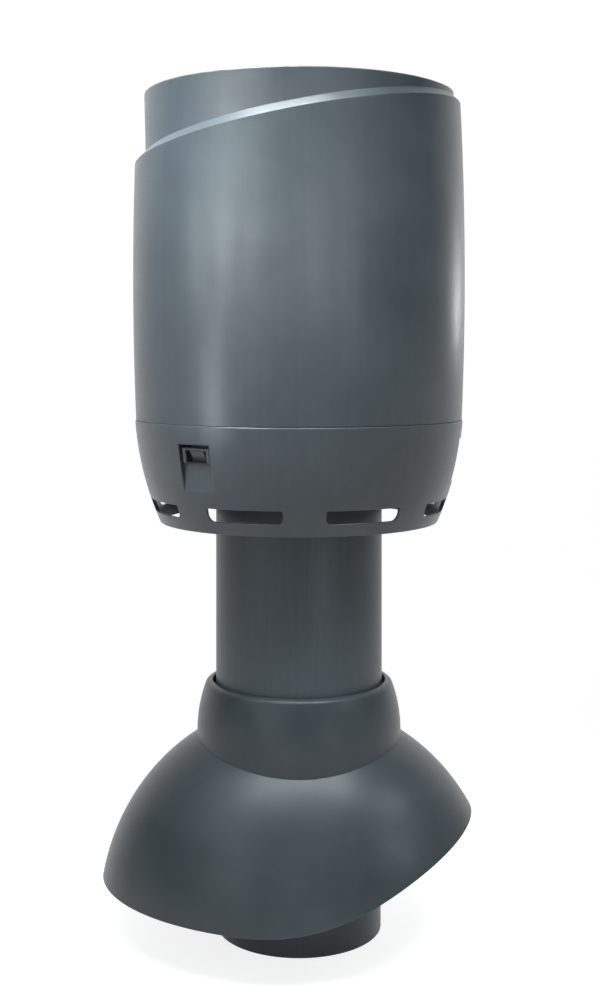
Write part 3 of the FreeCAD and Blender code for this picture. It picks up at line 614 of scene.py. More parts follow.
@dataclass
class RoofSkirt:
    """The oval dome with its collar, the guide sleeve inside and the ribs between them."""

    half_length: float = 131.8
    half_width: float = 106.9
    rise: float = 135.9
    centre: float = 10.3
    wall: float = 3.0
    edge_level: float = 32.5
    edge_low_angle: float = 1.6
    edge_bend_start: float = -34.0
    edge_bend_radius: float = 190.0
    edge_high_angle: float = 24.0
    edge_rounding: float = 0.5
    collar: Bulge = Bulge(67.4, 130.0, 89.0)
    collar_wall: float = 3.2
    collar_top: float = 163.3
    lip_rounding: float = 4.4
    lip_bevel: float = 0.35
    lip_run: float = 4.5
    junction_rounding: float = 0.5
    guide_inner: float = 55.3
    guide_outer: float = 58.3
    guide_low: float = 42.0
    guide_top: float = 150.0
    seal_seat: float = 57.0
    rib_count: int = 6
    rib_thickness: float = 2.4
    rib_low: float = 84.0
    rib_share: float = 0.6
    dome_steps: int = 44
    inner_steps: int = 24
    halvings: int = 46

    def edge_height(self, across: float) -> float:
        """Height of the lower edge at a distance along the roof's fall.

        Args:
            across: Distance from the pipe's axis, uphill.

        Returns:
            The height: level at first, then a bend, then the roof's slope.
        """
        start, bend = self.edge_bend_start, self.edge_bend_radius
        low, high = math.radians(self.edge_low_angle), math.radians(self.edge_high_angle)
        middle, lift = start + bend * math.sin(low), self.edge_level + bend * math.cos(low)
        end = middle + bend * math.sin(high)
        if across < start:
            return self.edge_level + (start - across) * math.tan(low)
        if across < end:
            return lift - math.sqrt(bend ** 2 - (across - middle) ** 2)
        return lift - bend * math.cos(high) + (across - end) * math.tan(high)

    def dome_at(self, degrees: float, climb: float, depth: float = 0.0) -> tuple[float, float]:
        """Point of the dome.

        Args:
            degrees: Turn about the axis.
            climb: Angle up the dome, from its widest place.
            depth: How far inside the outer dome.

        Returns:
            Distance from the axis, and height.
        """
        turn = math.radians(degrees)
        shrink = math.hypot(math.cos(turn) / (self.half_length - depth), math.sin(turn) / (self.half_width - depth))
        return math.cos(climb) / shrink, self.centre + (self.rise - depth) * math.sin(climb)

    def climb_to(self, wanted: Callable[[float, float], bool], degrees: float, depth: float) -> float:
        """Finds how far up the dome something starts to hold.

        Args:
            wanted: Says whether it holds at a distance from the axis and a height.
            degrees: Turn about the axis.
            depth: How far inside the outer dome.

        Returns:
            The angle up the dome.
        """
        low, high = 0.0, math.pi / 2
        for _ in range(self.halvings):
            middle = (low + high) / 2
            if wanted(*self.dome_at(degrees, middle, depth)):
                high = middle
            else:
                low = middle
        return high

    def section(self, degrees: float) -> Section:
        """Section through the skirt, from the collar's lip down the outside and back up the inside.

        Args:
            degrees: Turn about the axis.

        Returns:
            The closed section.
        """
        uphill = math.cos(math.radians(degrees))

        def above_edge(across: float, up: float) -> bool:
            """Whether a point of the dome is above the lower edge."""
            return up >= self.edge_height(across * uphill)

        waist = self.collar.widest
        hollow = waist - self.collar_wall
        throat = self.collar.at(self.guide_top) - self.collar_wall
        joint = self.climb_to(lambda across, up: across <= waist, degrees, 0.0)
        rim = self.climb_to(above_edge, degrees, 0.0)
        inner_rim = self.climb_to(above_edge, degrees, self.wall)
        inner_joint = self.climb_to(lambda across, up: across <= hollow, degrees, self.wall)
        heights = spaced(self.collar_top - self.lip_run, self.collar.height, 12)
        corners = [Corner(self.seal_seat, self.collar_top - self.lip_bevel),
                   Corner(self.seal_seat + self.lip_bevel, self.collar_top),
                   Corner(self.collar.at(self.collar_top), self.collar_top, self.lip_rounding, 8)]
        corners += [Corner(self.collar.at(up), up) for up in heights]
        corners.append(Corner(*self.dome_at(degrees, joint), self.junction_rounding))
        dome = [self.dome_at(degrees, climb) for climb in spaced(joint, rim, self.dome_steps)]
        # The places next to both ends stay out, to leave the roundings their room.
        corners += [Corner(*spot) for spot in dome[2:-2]]
        corners.append(Corner(*dome[-1], self.edge_rounding))
        inside = [self.dome_at(degrees, climb, self.wall)
                  for climb in spaced(inner_rim, inner_joint, self.inner_steps)]
        corners.append(Corner(*inside[0], self.edge_rounding))
        corners += [Corner(*spot) for spot in inside[1:]]
        corners += [Corner(hollow, self.collar.height), Corner(throat, self.guide_top),
                    Corner(self.guide_outer, self.guide_top), Corner(self.guide_outer, self.guide_low, 0.3),
                    Corner(self.guide_inner, self.guide_low, 0.3), Corner(self.guide_inner, self.guide_top),
                    Corner(self.seal_seat, self.guide_top)]
        return rounded(corners)

    def rib_outline(self, degrees: float) -> Section:
        """Outline of a rib from the guide sleeve to just inside the dome's wall.

        Args:
            degrees: Turn about the axis.

        Returns:
            The outline in distance from the axis and height.
        """
        depth, collar_depth = self.wall * self.rib_share, self.collar_wall * self.rib_share
        low = self.climb_to(lambda across, up: up >= self.rib_low, degrees, depth)
        reach = self.collar.widest - collar_depth
        high = self.climb_to(lambda across, up: across <= reach, degrees, depth)
        outline = [(self.guide_outer - ROOTED, self.guide_top), (self.guide_outer - ROOTED, self.rib_low)]
        outline += [self.dome_at(degrees, climb, depth) for climb in spaced(low, high, 9)]
        outline += [(reach, self.collar.height), (self.collar.at(self.guide_top) - collar_depth, self.guide_top)]
        return outline

    def build(self) -> None:
        """Makes the skirt."""
        skirt = Moulding()
        skirt.turn(self.section)
        half = self.rib_thickness / 2
        for number in range(self.rib_count):
            degrees = number * 360 / self.rib_count
            skirt.slab(self.rib_outline(degrees), Facing.SIDEWAYS, -half, half, degrees)
        # The skirt's finish carries painted shade: its colours are set darker than the hood's.
        skirt.make("skirt_moulding", SKIRT_PLASTIC_PAINTED_SHADE, "roof_skirt", "skirt_plastic")


@dataclass
class Seal:
    """A rubber ring, given by its section."""

    name: str
    node: str
    corners: Sequence[Corner]

    def build(self) -> None:
        """Makes the ring."""
        ring = Moulding()
        ring.turn(rounded(self.corners))
        ring.make(self.name, SEAL_RUBBER, self.node, "seal_rubber")


@dataclass
class Hood:
    """Sizes that the hood's pieces share."""

    turn: float = -7.0
    ring_low: float = 268.5
    seam: float = 335.2
    barrel: Bulge = Bulge(109.6, 430.0, 2250.0)
    ring: Bulge = Bulge(108.658, 348.6, 197.0)
    latch_turns: Sequence[float] = (0.0, 120.0, 240.0)
    latch_face: float = 100.38
    latch_plate: float = 2.4
    latch_gap: float = 0.3
    loop_sink: float = 2.1
    loop_top: float = 321.6
    flange_top: float = 327.6
    foot_reach: float = 95.0
    foot_half_width: float = 12.0
    cap_screw_radius: float = 86.0
    leg_turns: Sequence[float] = (180.0, 300.0, 60.0)


@dataclass
class HoodShell:
    """Barrel, slanted ledge and open neck in one moulding, with the three snap tongues."""

    hood: Hood
    wall: float = 3.0
    ledge_height: float = 528.4
    ledge_angle: float = 10.6
    ledge_bevel: float = 6.0
    ledge_rounding: float = 1.0
    neck_root: float = 101.2
    neck_flare: float = 1.1
    neck_low: float = 500.0
    neck_top: float = 549.4
    root_rounding: float = 0.6
    lip_rounding: float = 1.3
    seam_bevel: float = 0.4
    side_start: float = 8.0
    inner_start: float = 4.0
    inner_end: float = 6.0
    corrections: int = 4
    tongue_width: float = 18.0
    tongue_low: float = 309.0
    tongue_high: float = 356.0
    hook: float = 343.8
    tongue_thickness: float = 2.4
    nose_width: float = 10.6
    nose_low: float = 313.2
    nose_high: float = 319.7
    nose_foot: float = 2.0
    nose_grip: float = 1.2

    def neck_at(self, up: float) -> float:
        """Outside radius of the neck at a height."""
        return self.neck_root + self.neck_flare * (up - self.neck_low) / (self.neck_top - self.neck_low)

    def ledge_at(self, degrees: float, drop: float) -> tuple[float, float]:
        """Where the barrel's side would meet the slanted plane.

        Args:
            degrees: Turn about the axis, in the hood's own frame.
            drop: How far the surface lies inside the outer one.

        Returns:
            Distance from the axis, and height.
        """
        slope = math.tan(math.radians(self.ledge_angle)) * math.cos(math.radians(degrees))
        up = self.ledge_height - drop / math.cos(math.radians(self.ledge_angle))
        across = self.hood.barrel.at(up) - drop
        for _ in range(self.corrections):
            across = self.hood.barrel.at(up + across * slope) - drop
        return across, up + across * slope

    def bevel_drop(self, degrees: float) -> float:
        """How far down the barrel's side the ledge's bevel reaches."""
        slope = math.radians(self.ledge_angle) * math.sin(math.radians(degrees))
        return self.ledge_bevel / math.cos(slope)

    def section(self, degrees: float) -> Section:
        """Section through the shell, from the neck's lip down the outside and back up the inside.

        Args:
            degrees: Turn about the axis, in the hood's own frame.

        Returns:
            The closed section.
        """
        across, up = self.ledge_at(degrees, 0.0)
        drop = self.bevel_drop(degrees)
        neck = self.neck_at(up)
        root = up - drop * (neck - (across - self.ledge_bevel)) / self.ledge_bevel
        low_side = up - drop
        corners = [Corner(self.neck_root + self.neck_flare, self.neck_top, self.lip_rounding),
                   Corner(self.neck_at(root + RUN_IN), root + RUN_IN), Corner(neck, root, self.root_rounding),
                   Corner(self.hood.barrel.at(low_side), low_side, self.ledge_rounding, 7)]
        heights = spaced(low_side - self.side_start, self.hood.seam + RUN_IN, 22)
        corners += [Corner(self.hood.barrel.at(height), height) for height in heights]
        foot = self.hood.barrel.at(self.hood.seam)
        corners += [Corner(foot, self.hood.seam + self.seam_bevel, 0.3),
                    Corner(foot - self.seam_bevel, self.hood.seam, 0.3), Corner(foot - self.wall, self.hood.seam)]
        in_across, in_up = self.ledge_at(degrees, self.wall)
        heights = spaced(self.hood.seam + self.inner_start, in_up - drop - self.inner_end, 10)
        corners += [Corner(self.hood.barrel.at(height) - self.wall, height) for height in heights]
        in_root = in_up - drop * (self.neck_at(in_up) - self.wall - (in_across - self.ledge_bevel)) / self.ledge_bevel
        corners += [Corner(in_across, in_up - drop, 2.0), Corner(self.neck_at(in_root) - self.wall, in_root, 1.0),
                    Corner(self.neck_root + self.neck_flare - self.wall, self.neck_top, self.lip_rounding)]
        return rounded(corners)

    def tongue_front(self) -> float:
        """Distance from the axis of a snap tongue's front, just behind the base's panel."""
        return self.hood.latch_face - self.hood.latch_plate - self.hood.latch_gap

    def tongue_outline(self) -> Section:
        """Side view of a snap tongue, hooked over the base's spigot and rooted in the shell's wall.

        Returns:
            The outline in distance from the axis and height.
        """
        front = self.tongue_front()
        back = front - self.tongue_thickness
        mid = self.wall / 2
        barrel = self.hood.barrel
        return [(back, self.tongue_low), (front, self.tongue_low), (front, self.hook),
                (barrel.at(self.hook) - mid, self.hook), (barrel.at(self.tongue_high) - mid, self.tongue_high),
                (back, self.hook + self.tongue_thickness)]

    def build(self) -> None:
        """Makes the shell."""
        shell = Moulding()
        shell.turn(self.section)
        front, half, nose_half = self.tongue_front(), self.tongue_width / 2, self.nose_width / 2
        nose_face = self.hood.ring.at(self.hood.loop_top) - self.hood.loop_sink - self.nose_grip
        nose = [(front - ROOTED, self.nose_low), (front + self.nose_foot, self.nose_low),
                (nose_face, self.nose_high), (front - ROOTED, self.nose_high)]
        for degrees in self.hood.latch_turns:
            shell.slab(self.tongue_outline(), Facing.SIDEWAYS, -half, half, degrees)
            shell.slab(nose, Facing.SIDEWAYS, -nose_half, nose_half, degrees, 0.2)
        shell.make("hood_shell_moulding", HOOD_PLASTIC, "hood_shell", "hood_plastic", self.hood.turn)


@dataclass(frozen=True)
class Opening:
    """A slot or recess in the ring, with rounded lower corners.

    Attributes:
        half_width: Half its width.
        low: Height of its lower side.
        high: Height of its upper side.
        corner: Radius of its lower corners.
        reach: How many steps the patch of wall that holds it reaches to each side.
        rows: Heights of the patch's points.
    """

    half_width: float
    low: float
    high: float
    corner: float
    reach: int
    rows: Sequence[float]

    def outline(self, grow: float) -> Section:
        """Draws its outline, with as many points as the border of its patch.

        Args:
            grow: How far the outline lies outside the opening.

        Returns:
            The outline from the lower left corner, counter-clockwise.
        """
        half, low, high, corner = self.half_width + grow, self.low - grow, self.high + grow, self.corner + grow
        below, beside = 3, 2

        def arc(side: float, first: float, last: float, steps: int) -> Section:
            """Part of a lower corner, without its last point."""
            turns = [math.radians(first + (last - first) * step / steps) for step in range(steps)]
            return [(side * (half - corner) + corner * math.cos(turn), low + corner + corner * math.sin(turn))
                    for turn in turns]

        straight, rest = 2 * (self.reach - below) + 1, len(self.rows) - beside
        outline = arc(-1, 225, 270, below)
        outline += [(value, low) for value in spaced(corner - half, half - corner, straight)[:-1]]
        outline += arc(1, 270, 315, below) + arc(1, 315, 360, beside)
        outline += [(half, value) for value in spaced(low + corner, high, rest)[:-1]]
        outline += [(value, high) for value in spaced(half, -half, 2 * self.reach + 1)[:-1]]
        outline += [(-half, value) for value in spaced(high, low + corner, rest)[:-1]]
        return outline + arc(-1, 180, 225, beside)

    def on_wall(self, grow: float, degrees: float, radius_at: Callable[[float], float]) -> Loop:
        """Its outline, thrown along its own radius onto a round wall."""
        return [turned_by((math.sqrt(radius_at(up) ** 2 - across ** 2), across, up), degrees)
                for across, up in self.outline(grow)]

    def border(self, degrees: float, radius_at: Callable[[float], float]) -> Loop:
        """Points round the patch of wall that holds it.

        Args:
            degrees: Its turn about the axis.
            radius_at: The wall's radius at a height.

        Returns:
            The loop from the lower left corner, counter-clockwise.
        """
        turns = spaced(degrees - self.reach * STEP, degrees + self.reach * STEP, 2 * self.reach + 1)
        spots = [(turn, self.rows[0]) for turn in turns[:-1]]
        spots += [(turns[-1], up) for up in self.rows[:-1]]
        spots += [(turn, self.rows[-1]) for turn in reversed(turns[1:])]
        spots += [(turns[0], up) for up in reversed(self.rows[1:])]
        return [round_polar(radius_at(up), turn, up) for turn, up in spots]


@dataclass
class HoodBase:
    """The slotted ring with its latch recesses, and the webs and socket that sit on the pipe."""

    hood: Hood
    wall: float = 2.6
    foot_rounding: float = 0.7
    top_rounding: float = 0.9
    spigot_outer: float = 104.302
    spigot_inner: float = 101.802
    spigot_top: float = 343.2
    shoulder_low: float = 322.0
    shoulder_high: float = 331.0
    slot_turns: Sequence[float] = tuple(31.5 + 45 * number for number in range(8))
    slot: Opening = Opening(24.6, 276.4, 284.6, 4.5, 12, tuple(spaced(272.5, 288.5, 7)))
    slot_rounding: float = 0.5
    slot_inner_rounding: float = 0.4
    edge_places: Sequence[float] = (0.0, 0.33, 0.67, 1.0)
    latch: Opening = Opening(12.0, 295.2, 323.5, 0.5, 6, tuple(spaced(292.3, 326.6, 13)))
    latch_step: float = 312.5
    latch_surround: float = 2.0
    latch_rounding: float = 0.7
    panel_overlap: float = 0.2
    loop_half_width: float = 10.6
    loop_thickness: float = 2.4
    loop_root: float = 1.5
    loop_bar: float = 1.6
    window_half_width: float = 8.1
    web_turns: Sequence[float] = tuple(30.0 + 60 * number for number in range(6))
    web_thickness: float = 2.4
    web_low: float = 297.0
    web_high: float = 324.0
    bore: float = 55.3
    socket_outer: float = 58.3
    socket_low: float = 285.0
    groove: float = 57.0
    housing: float = 60.0
    seal_low: float = 297.0
    seal_top: float = 305.0
    flange_outer: float = 64.0
    flange_thickness: float = 3.0
    stop: float = 52.3
    pipe_top: float = 326.0
    boss_radius: float = 5.0
    boss_height: float = 6.0
    boss_sides: int = 24
    base: Moulding = field(default_factory=Moulding)

    def inner_at(self, up: float) -> float:
        """Inside radius of the ring's wall at a height. It steps in under the seam."""
        wall = self.hood.ring.at(min(up, self.shoulder_low)) - self.wall
        return read_off([(self.shoulder_low, wall), (self.shoulder_high, self.spigot_inner)], up)

    def section(self) -> tuple[Section, set[int], set[int]]:
        """Section through the ring.

        Returns:
            The closed section, and the numbers of its faces that the slots break and that the latches break.
        """
        ring, low, seam = self.hood.ring, self.hood.ring_low, self.hood.seam
        foot = rounded([Corner(ring.at(low) - self.wall, low, 0.3), Corner(ring.at(low), low, self.foot_rounding),
                        Corner(ring.at(low + RUN_IN), low + RUN_IN)], closed=False)
        outside = [(ring.at(up), up) for up in (*self.slot.rows, *self.latch.rows)]
        top = rounded([
            Corner(ring.at(seam - RUN_IN), seam - RUN_IN), Corner(ring.at(seam), seam, self.top_rounding),
            Corner(self.spigot_outer, seam), Corner(self.spigot_outer, self.spigot_top, 0.4),
            Corner(self.spigot_inner, self.spigot_top, 0.4), Corner(self.spigot_inner, self.shoulder_high)],
            closed=False)
        inside = [(self.inner_at(up), up) for _, up in reversed(outside)]
        first, second = len(foot), len(foot) + len(outside) + len(top)
        split, last = len(self.slot.rows), len(outside)
        slots = {*range(first, first + split - 1), *range(second + last - split, second + last - 1)}
        latches = {*range(first + split, first + last - 1), *range(second, second + last - split - 1)}
        return foot + outside + top + inside, slots, latches

    def rounded_edge(self, opening: Opening, degrees: float, rounding: float, shares: Sequence[float],
                     depth: float = 0.0) -> list[Loop]:
        """Rounds the edge of an opening, on the ring's outer face or on an inner one.

        Args:
            opening: The opening.
            degrees: The opening's turn about the axis.
            rounding: Radius of the edge.
            shares: Places on the way round it, from 0 on the face to 1 in the opening.
            depth: How far an inner face lies under the outer one.

        Returns:
            A loop for each place.
        """
        loops = []
        for share in shares:
            turn = share * math.pi / 2
            sunk = rounding * (1 - math.cos(turn))
            if depth:
                sunk = depth - sunk
            loops.append(opening.on_wall(rounding * (1 - math.sin(turn)), degrees,
                                         lambda up, sunk=sunk: self.hood.ring.at(up) - sunk))
        return loops

    def cut_slot(self, degrees: float) -> None:
        """Makes the wall round a drain slot, with rounded edges.

        Args:
            degrees: The slot's turn about the axis.
        """
        self.base.join([
            self.slot.border(degrees, self.hood.ring.at),
            *self.rounded_edge(self.slot, degrees, self.slot_rounding, self.edge_places),
            *self.rounded_edge(self.slot, degrees, self.slot_inner_rounding, (1.0, 0.5, 0.0), self.wall),
            self.slot.border(degrees, self.inner_at)])

    def cut_latch(self, degrees: float) -> None:
        """Makes the wall round a latch's recess, its flat panel and its snap loop.

        Args:
            degrees: The latch's turn about the axis.
        """
        latch, face = self.latch, self.hood.latch_face
        back = face - self.hood.latch_plate
        self.base.join([
            latch.border(degrees, self.hood.ring.at),
            *self.rounded_edge(latch, degrees, self.latch_rounding, self.edge_places),
            *([turned_by((back, across, up), degrees) for across, up in latch.outline(grow)]
              for grow in (0.0, self.latch_surround)),
            latch.on_wall(self.latch_surround, degrees, self.inner_at),
            latch.border(degrees, self.inner_at)])

        half, low = latch.half_width + self.panel_overlap, latch.low - self.panel_overlap
        panel = [(-half, low), (half, low), (half, self.latch_step), (-half, self.latch_step)]
        self.base.slab(panel, Facing.OUTWARD, back, face, degrees, 0.35)
        self.add_loop(degrees)

    def add_loop(self, degrees: float) -> None:
        """Makes a latch's loop, a frame that steps out of the panel's top and leans out along the ring.

        Args:
            degrees: The latch's turn about the axis.
        """
        face, ring, thick, edge = self.hood.latch_face, self.hood.ring.at, self.loop_thickness, 0.3
        root, step, top = self.latch_step - self.loop_root, self.latch_step, self.hood.loop_top
        low, high = ring(step) - self.hood.loop_sink, ring(top) - self.hood.loop_sink
        front = [(root, face), (step, low), (top, high)]
        back = [(step, face - self.hood.latch_plate), (step + thick, low - thick), (top, high - thick)]

        def frame_edge(half: float, heights: Sequence[float], roundings: Sequence[float]) -> Section:
            """Draws the frame's outer or inner outline.

            Args:
                half: Half its width.
                heights: Heights of its lower side, its kink and its upper side.
                roundings: Radii of its lower and its upper corners.

            Returns:
                The outline.
            """
            low_up, side_up, top_up = heights
            return rounded([
                Corner(-half, low_up, roundings[0]), Corner(half, low_up, roundings[0]), Corner(half, side_up),
                Corner(half, top_up, roundings[1]), Corner(-half, top_up, roundings[1]), Corner(-half, side_up)])

        outer = frame_edge(self.loop_half_width, (root, step, top), (0.3, 0.6))
        inner = frame_edge(self.window_half_width, (step, step + thick, top - self.loop_bar), (1.2, 0.5))

        def placed(outline: Section, side: Section, shift: float) -> Loop:
            """The outline's points on the frame's front or back."""
            return [turned_by((read_off(side, up) + shift, across, up), degrees) for across, up in outline]

        small, large = inset(outer, edge), inset(inner, -edge)
        self.base.join([placed(small, front, 0.0), placed(outer, front, -edge), placed(outer, back, edge),
                        placed(small, back, 0.0), placed(large, back, 0.0), placed(inner, back, edge),
                        placed(inner, front, -edge), placed(large, front, 0.0)], chain=True)

    def socket(self) -> Section:
        """Section through the socket, with the groove for its seal.

        Returns:
            The closed section.
        """
        flange_low = self.hood.flange_top - self.flange_thickness
        slope = self.housing - self.socket_outer
        return rounded([
            Corner(self.bore, self.socket_low, 0.4), Corner(self.socket_outer, self.socket_low, 0.4),
            Corner(self.socket_outer, self.seal_low - slope), Corner(self.housing, self.seal_low),
            Corner(self.housing, self.seal_top), Corner(self.socket_outer, self.seal_top + slope),
            Corner(self.socket_outer, flange_low, 0.8), Corner(self.flange_outer, flange_low, 0.3),
            Corner(self.flange_outer, self.hood.flange_top, 0.3), Corner(self.stop, self.hood.flange_top, 0.3),
            Corner(self.stop, self.pipe_top), Corner(self.bore, self.pipe_top), Corner(self.bore, self.seal_top),
            Corner(self.groove, self.seal_top), Corner(self.groove, self.seal_low), Corner(self.bore, self.seal_low)])

    def add_lug(self, degrees: float) -> None:
        """Makes a lug and the boss under it.

        Args:
            degrees: The lug's turn about the axis.
        """
        top, half = self.hood.flange_top, self.hood.foot_half_width
        low = top - self.flange_thickness
        plate = rounded([Corner(self.socket_outer, -half), Corner(self.hood.foot_reach, -half, 2.0),
                         Corner(self.hood.foot_reach, half, 2.0), Corner(self.socket_outer, half)])
        self.base.slab(plate, Facing.UPWARD, low, top, degrees)
        post = [(self.hood.cap_screw_radius + self.boss_radius * math.cos(turn), self.boss_radius * math.sin(turn))
                for turn in (math.radians(number * 360 / self.boss_sides) for number in range(self.boss_sides))]
        self.base.slab(post, Facing.UPWARD, low - self.boss_height, top - ROOTED, degrees, 0.4)

    def build(self) -> None:
        """Makes the base."""
        section, slots, latches = self.section()
        openings = [(round(turn / STEP), self.slot.reach, slots) for turn in self.slot_turns]
        openings += [(round(turn / STEP), self.latch.reach, latches) for turn in self.hood.latch_turns]

        def broken(row: int, column: int) -> bool:
            """Whether an opening takes the place of a face, by its turn's number and its number in the section."""
            return any(column in faces and (row - middle + reach) % TURNS < 2 * reach
                       for middle, reach, faces in openings)

        self.base.turn(section, gap=broken)
        for degrees in self.slot_turns:
            self.cut_slot(degrees)
        for degrees in self.hood.latch_turns:
            self.cut_latch(degrees)
        self.base.turn(self.socket())
        half = self.web_thickness / 2
        web = [(self.socket_outer - ROOTED, self.web_high), (self.socket_outer - ROOTED, self.web_low)]
        web += [(self.inner_at(up) + ROOTED, up) for up in spaced(self.web_low, self.web_high, 7)]
        for degrees in self.web_turns:
            self.base.slab(web, Facing.SIDEWAYS, -half, half, degrees)
        for degrees in self.hood.leg_turns:
            self.add_lug(degrees)
        self.base.make("hood_base_moulding", HOOD_PLASTIC, "hood_base", "hood_plastic", self.hood.turn)


@dataclass
class RainCap:
    """The dome over the pipe's mouth, with three legs and their feet."""

    hood: Hood
    radius: float = 78.0
    edge: float = 374.0
    rise: float = 28.0
    wall: float = 2.5
    drip: float = 6.0
    leg_inner: float = 64.0
    leg_outer: float = 75.0
    leg_thickness: float = 3.0
    foot_thickness: float = 3.0
    leg_lift: float = 0.5

    def top_at(self, across: float, depth: float) -> float:
        """Height of the dome at a distance from the axis, or of what lies a depth under it."""
        bend = (self.radius ** 2 + self.rise ** 2) / (2 * self.rise)
        return self.edge + self.rise - bend + math.sqrt((bend - depth) ** 2 - across ** 2)

    def section(self) -> Section:
        """Section through the dome, from its middle out and back under it.

        Returns:
            The open section.
        """
        outer = spaced(0.0, self.radius - RUN_IN, 16)
        inner = self.radius - self.wall
        corners = [Corner(across, self.top_at(across, 0.0)) for across in outer]
        corners += [Corner(self.radius, self.edge, 1.0), Corner(self.radius, self.edge - self.drip, 0.5),
                    Corner(inner, self.edge - self.drip, 0.5), Corner(inner, self.top_at(inner, self.wall), 0.8)]
        corners += [Corner(across, self.top_at(across, self.wall)) for across in spaced(inner - RUN_IN, 0.0, 12)]
        return rounded(corners, closed=False)

    def build(self) -> None:
        """Makes the cap."""
        cap = Moulding()
        cap.turn(self.section(), closed=False)
        seat = self.hood.flange_top
        low = seat + self.leg_lift
        leg = [(self.leg_outer, low), (self.leg_outer, self.top_at(self.leg_outer, self.wall / 2)),
               (self.leg_inner, self.top_at(self.leg_inner, self.wall / 2)), (self.leg_inner, low)]
        half, width = self.leg_thickness / 2, self.hood.foot_half_width
        foot = rounded([Corner(self.leg_inner, -width, 1.0), Corner(self.hood.foot_reach, -width, 2.0),
                        Corner(self.hood.foot_reach, width, 2.0), Corner(self.leg_inner, width, 1.0)])
        for degrees in self.hood.leg_turns:
            cap.slab(leg, Facing.SIDEWAYS, -half, half, degrees)
            cap.slab(foot, Facing.UPWARD, seat, seat + self.foot_thickness, degrees)
        cap.make("rain_cap_moulding", HOOD_PLASTIC, "rain_cap", "hood_plastic", self.hood.turn)


@dataclass
class ScrewSet:
    """Pan-head screws with a rolled thread and a cross recess, all in one piece.

    Attributes:
        name: The piece's name.
        node: The node that it stands for.
        places: For each screw the turn about the axis, in the world's frame.
        seat: Distance from the axis, or height, of what the head sits on.
        across: Height of a radial screw, or distance from the axis of an upright one.
        upright: Whether the screws point down.
        crown_middle: Place of the crown's centre, outwards from the seat and from the screw's axis.
        crown_steps: Distances from the screw's axis at which the crown has its rings.
        recess_steps: For each ring of the recess its share of the width, and its depth.
        shank_ends: How far the shank's first and last rings lie inside its ends.
    """

    name: str
    node: str
    places: Sequence[float]
    seat: float
    across: float
    upright: bool = False
    radius: float = 1.9
    core: float = 1.4
    pitch: float = 1.3
    length: float = 9.0
    tip: float = 1.5
    head_radius: float = 4.0
    head_height: float = 2.4
    crown: float = 3.4
    crown_middle: tuple[float, float] = (-0.968, 0.740)
    crown_steps: Sequence[float] = (3.9, 3.6, 3.2, 2.7, 2.3)
    head_edge: float = 0.15
    head_edge_height: float = 0.12
    ridge_share: float = 0.3
    recess_reach: float = 1.9
    recess_waist: float = 0.55
    recess_steps: Sequence[tuple[float, float]] = ((1.0, 0.15), (0.92, 0.3), (0.6, 1.3))
    shank_ends: tuple[float, float] = (0.05, 0.1)
    shank_steps: int = 46
    sides: int = 24

    def placed(self, along: float, radius: float, turn: float, degrees: float) -> Point:
        """Point of a screw.

        Args:
            along: Distance outwards from the seat.
            radius: Distance from the screw's own axis.
            turn: Turn about the screw's own axis.
            degrees: The screw's turn about the pipe.

        Returns:
            The point in the pipe's frame.
        """
        side, rise = radius * math.cos(math.radians(turn)), radius * math.sin(math.radians(turn))
        if self.upright:
            return turned_by((self.across + side, rise, self.seat + along), degrees)
        return turned_by((self.seat + along, side, self.across + rise), degrees)

    def thread_at(self, along: float, turn: float) -> float:
        """Radius of the threaded shank at a place on it.

        Args:
            along: Distance outwards from the seat.
            turn: Turn about the screw's own axis.

        Returns:
            The radius.
        """
        part = (along / self.pitch - turn / 360) % 1.0
        ridge = max(0.0, 1 - abs(part - 0.5) / self.ridge_share)
        taper = min(1.0, (along + self.length) / self.tip)
        return (self.core + (self.radius - self.core) * ridge) * taper

    def recess_at(self, turn: float) -> float:
        """Radius of the cross recess at a turn about the screw."""
        offset = math.radians((turn + 45) % 90 - 45)
        return min(self.recess_reach / math.cos(offset), self.recess_waist / max(abs(math.sin(offset)), 1e-6))

    def build(self) -> None:
        """Makes the screws."""
        screws = Moulding()
        turns = [360 * number / self.sides for number in range(self.sides)]
        rings = [(along, [self.thread_at(along, turn) for turn in turns])
                 for along in spaced(self.shank_ends[0] - self.length, -self.shank_ends[1], self.shank_steps)]
        head = [(0.0, self.radius), (0.0, self.head_radius - self.head_edge),
                (self.head_edge_height, self.head_radius)]
        head += [(self.crown_middle[0] + math.sqrt(self.crown ** 2 - (radius - self.crown_middle[1]) ** 2), radius)
                 for radius in self.crown_steps]
        rings += [(along, [radius] * self.sides) for along, radius in head]
        rings += [(self.head_height - depth, [self.recess_at(turn) * shrink for turn in turns])
                  for shrink, depth in self.recess_steps]
        for degrees in self.places:
            loops = [[self.placed(along, radius, turn, degrees) for radius, turn in zip(radii, turns)]
                     for along, radii in rings]
            screws.join(loops)
            screws.cap(loops[0])
            screws.cap(loops[-1])
        screws.make(self.name, SCREW_STEEL, self.node, "screw_steel")


# ------------------------------------------------------------------------------------------------- studio

@dataclass
class Lamp:
    """A soft rectangular lamp, often with a grid that keeps its light off what it isn't meant for.

    Attributes:
        name: The lamp's name.
        place: Where it hangs, in metres.
        aim: What it points at, in metres.
        size: Its width and height, in metres.
        power: Its power in watts.
        spread: How wide its grid lets the light fan out, in degrees.
        colour: Its slightly cool white.
    """

    name: str
    place: tuple[float, float, float]
    aim: tuple[float, float, float]
    size: tuple[float, float]
    power: float
    spread: float = 180.0
    colour: str = "#f4fbff"

    def build(self) -> None:
        """Makes the lamp."""
        light = bpy.data.lights.new(self.name, "AREA")
        light.shape = "RECTANGLE"
        light.size, light.size_y = self.size
        light.energy = self.power
        light.color = linear(self.colour)[:3]
        light.spread = math.radians(self.spread)
        lamp = put(self.name, light)
        lamp.visible_camera = False
        lamp.location = self.place
        lamp.rotation_euler = (Vector(self.aim) - Vector(self.place)).to_track_quat("-Z", "Y").to_euler()


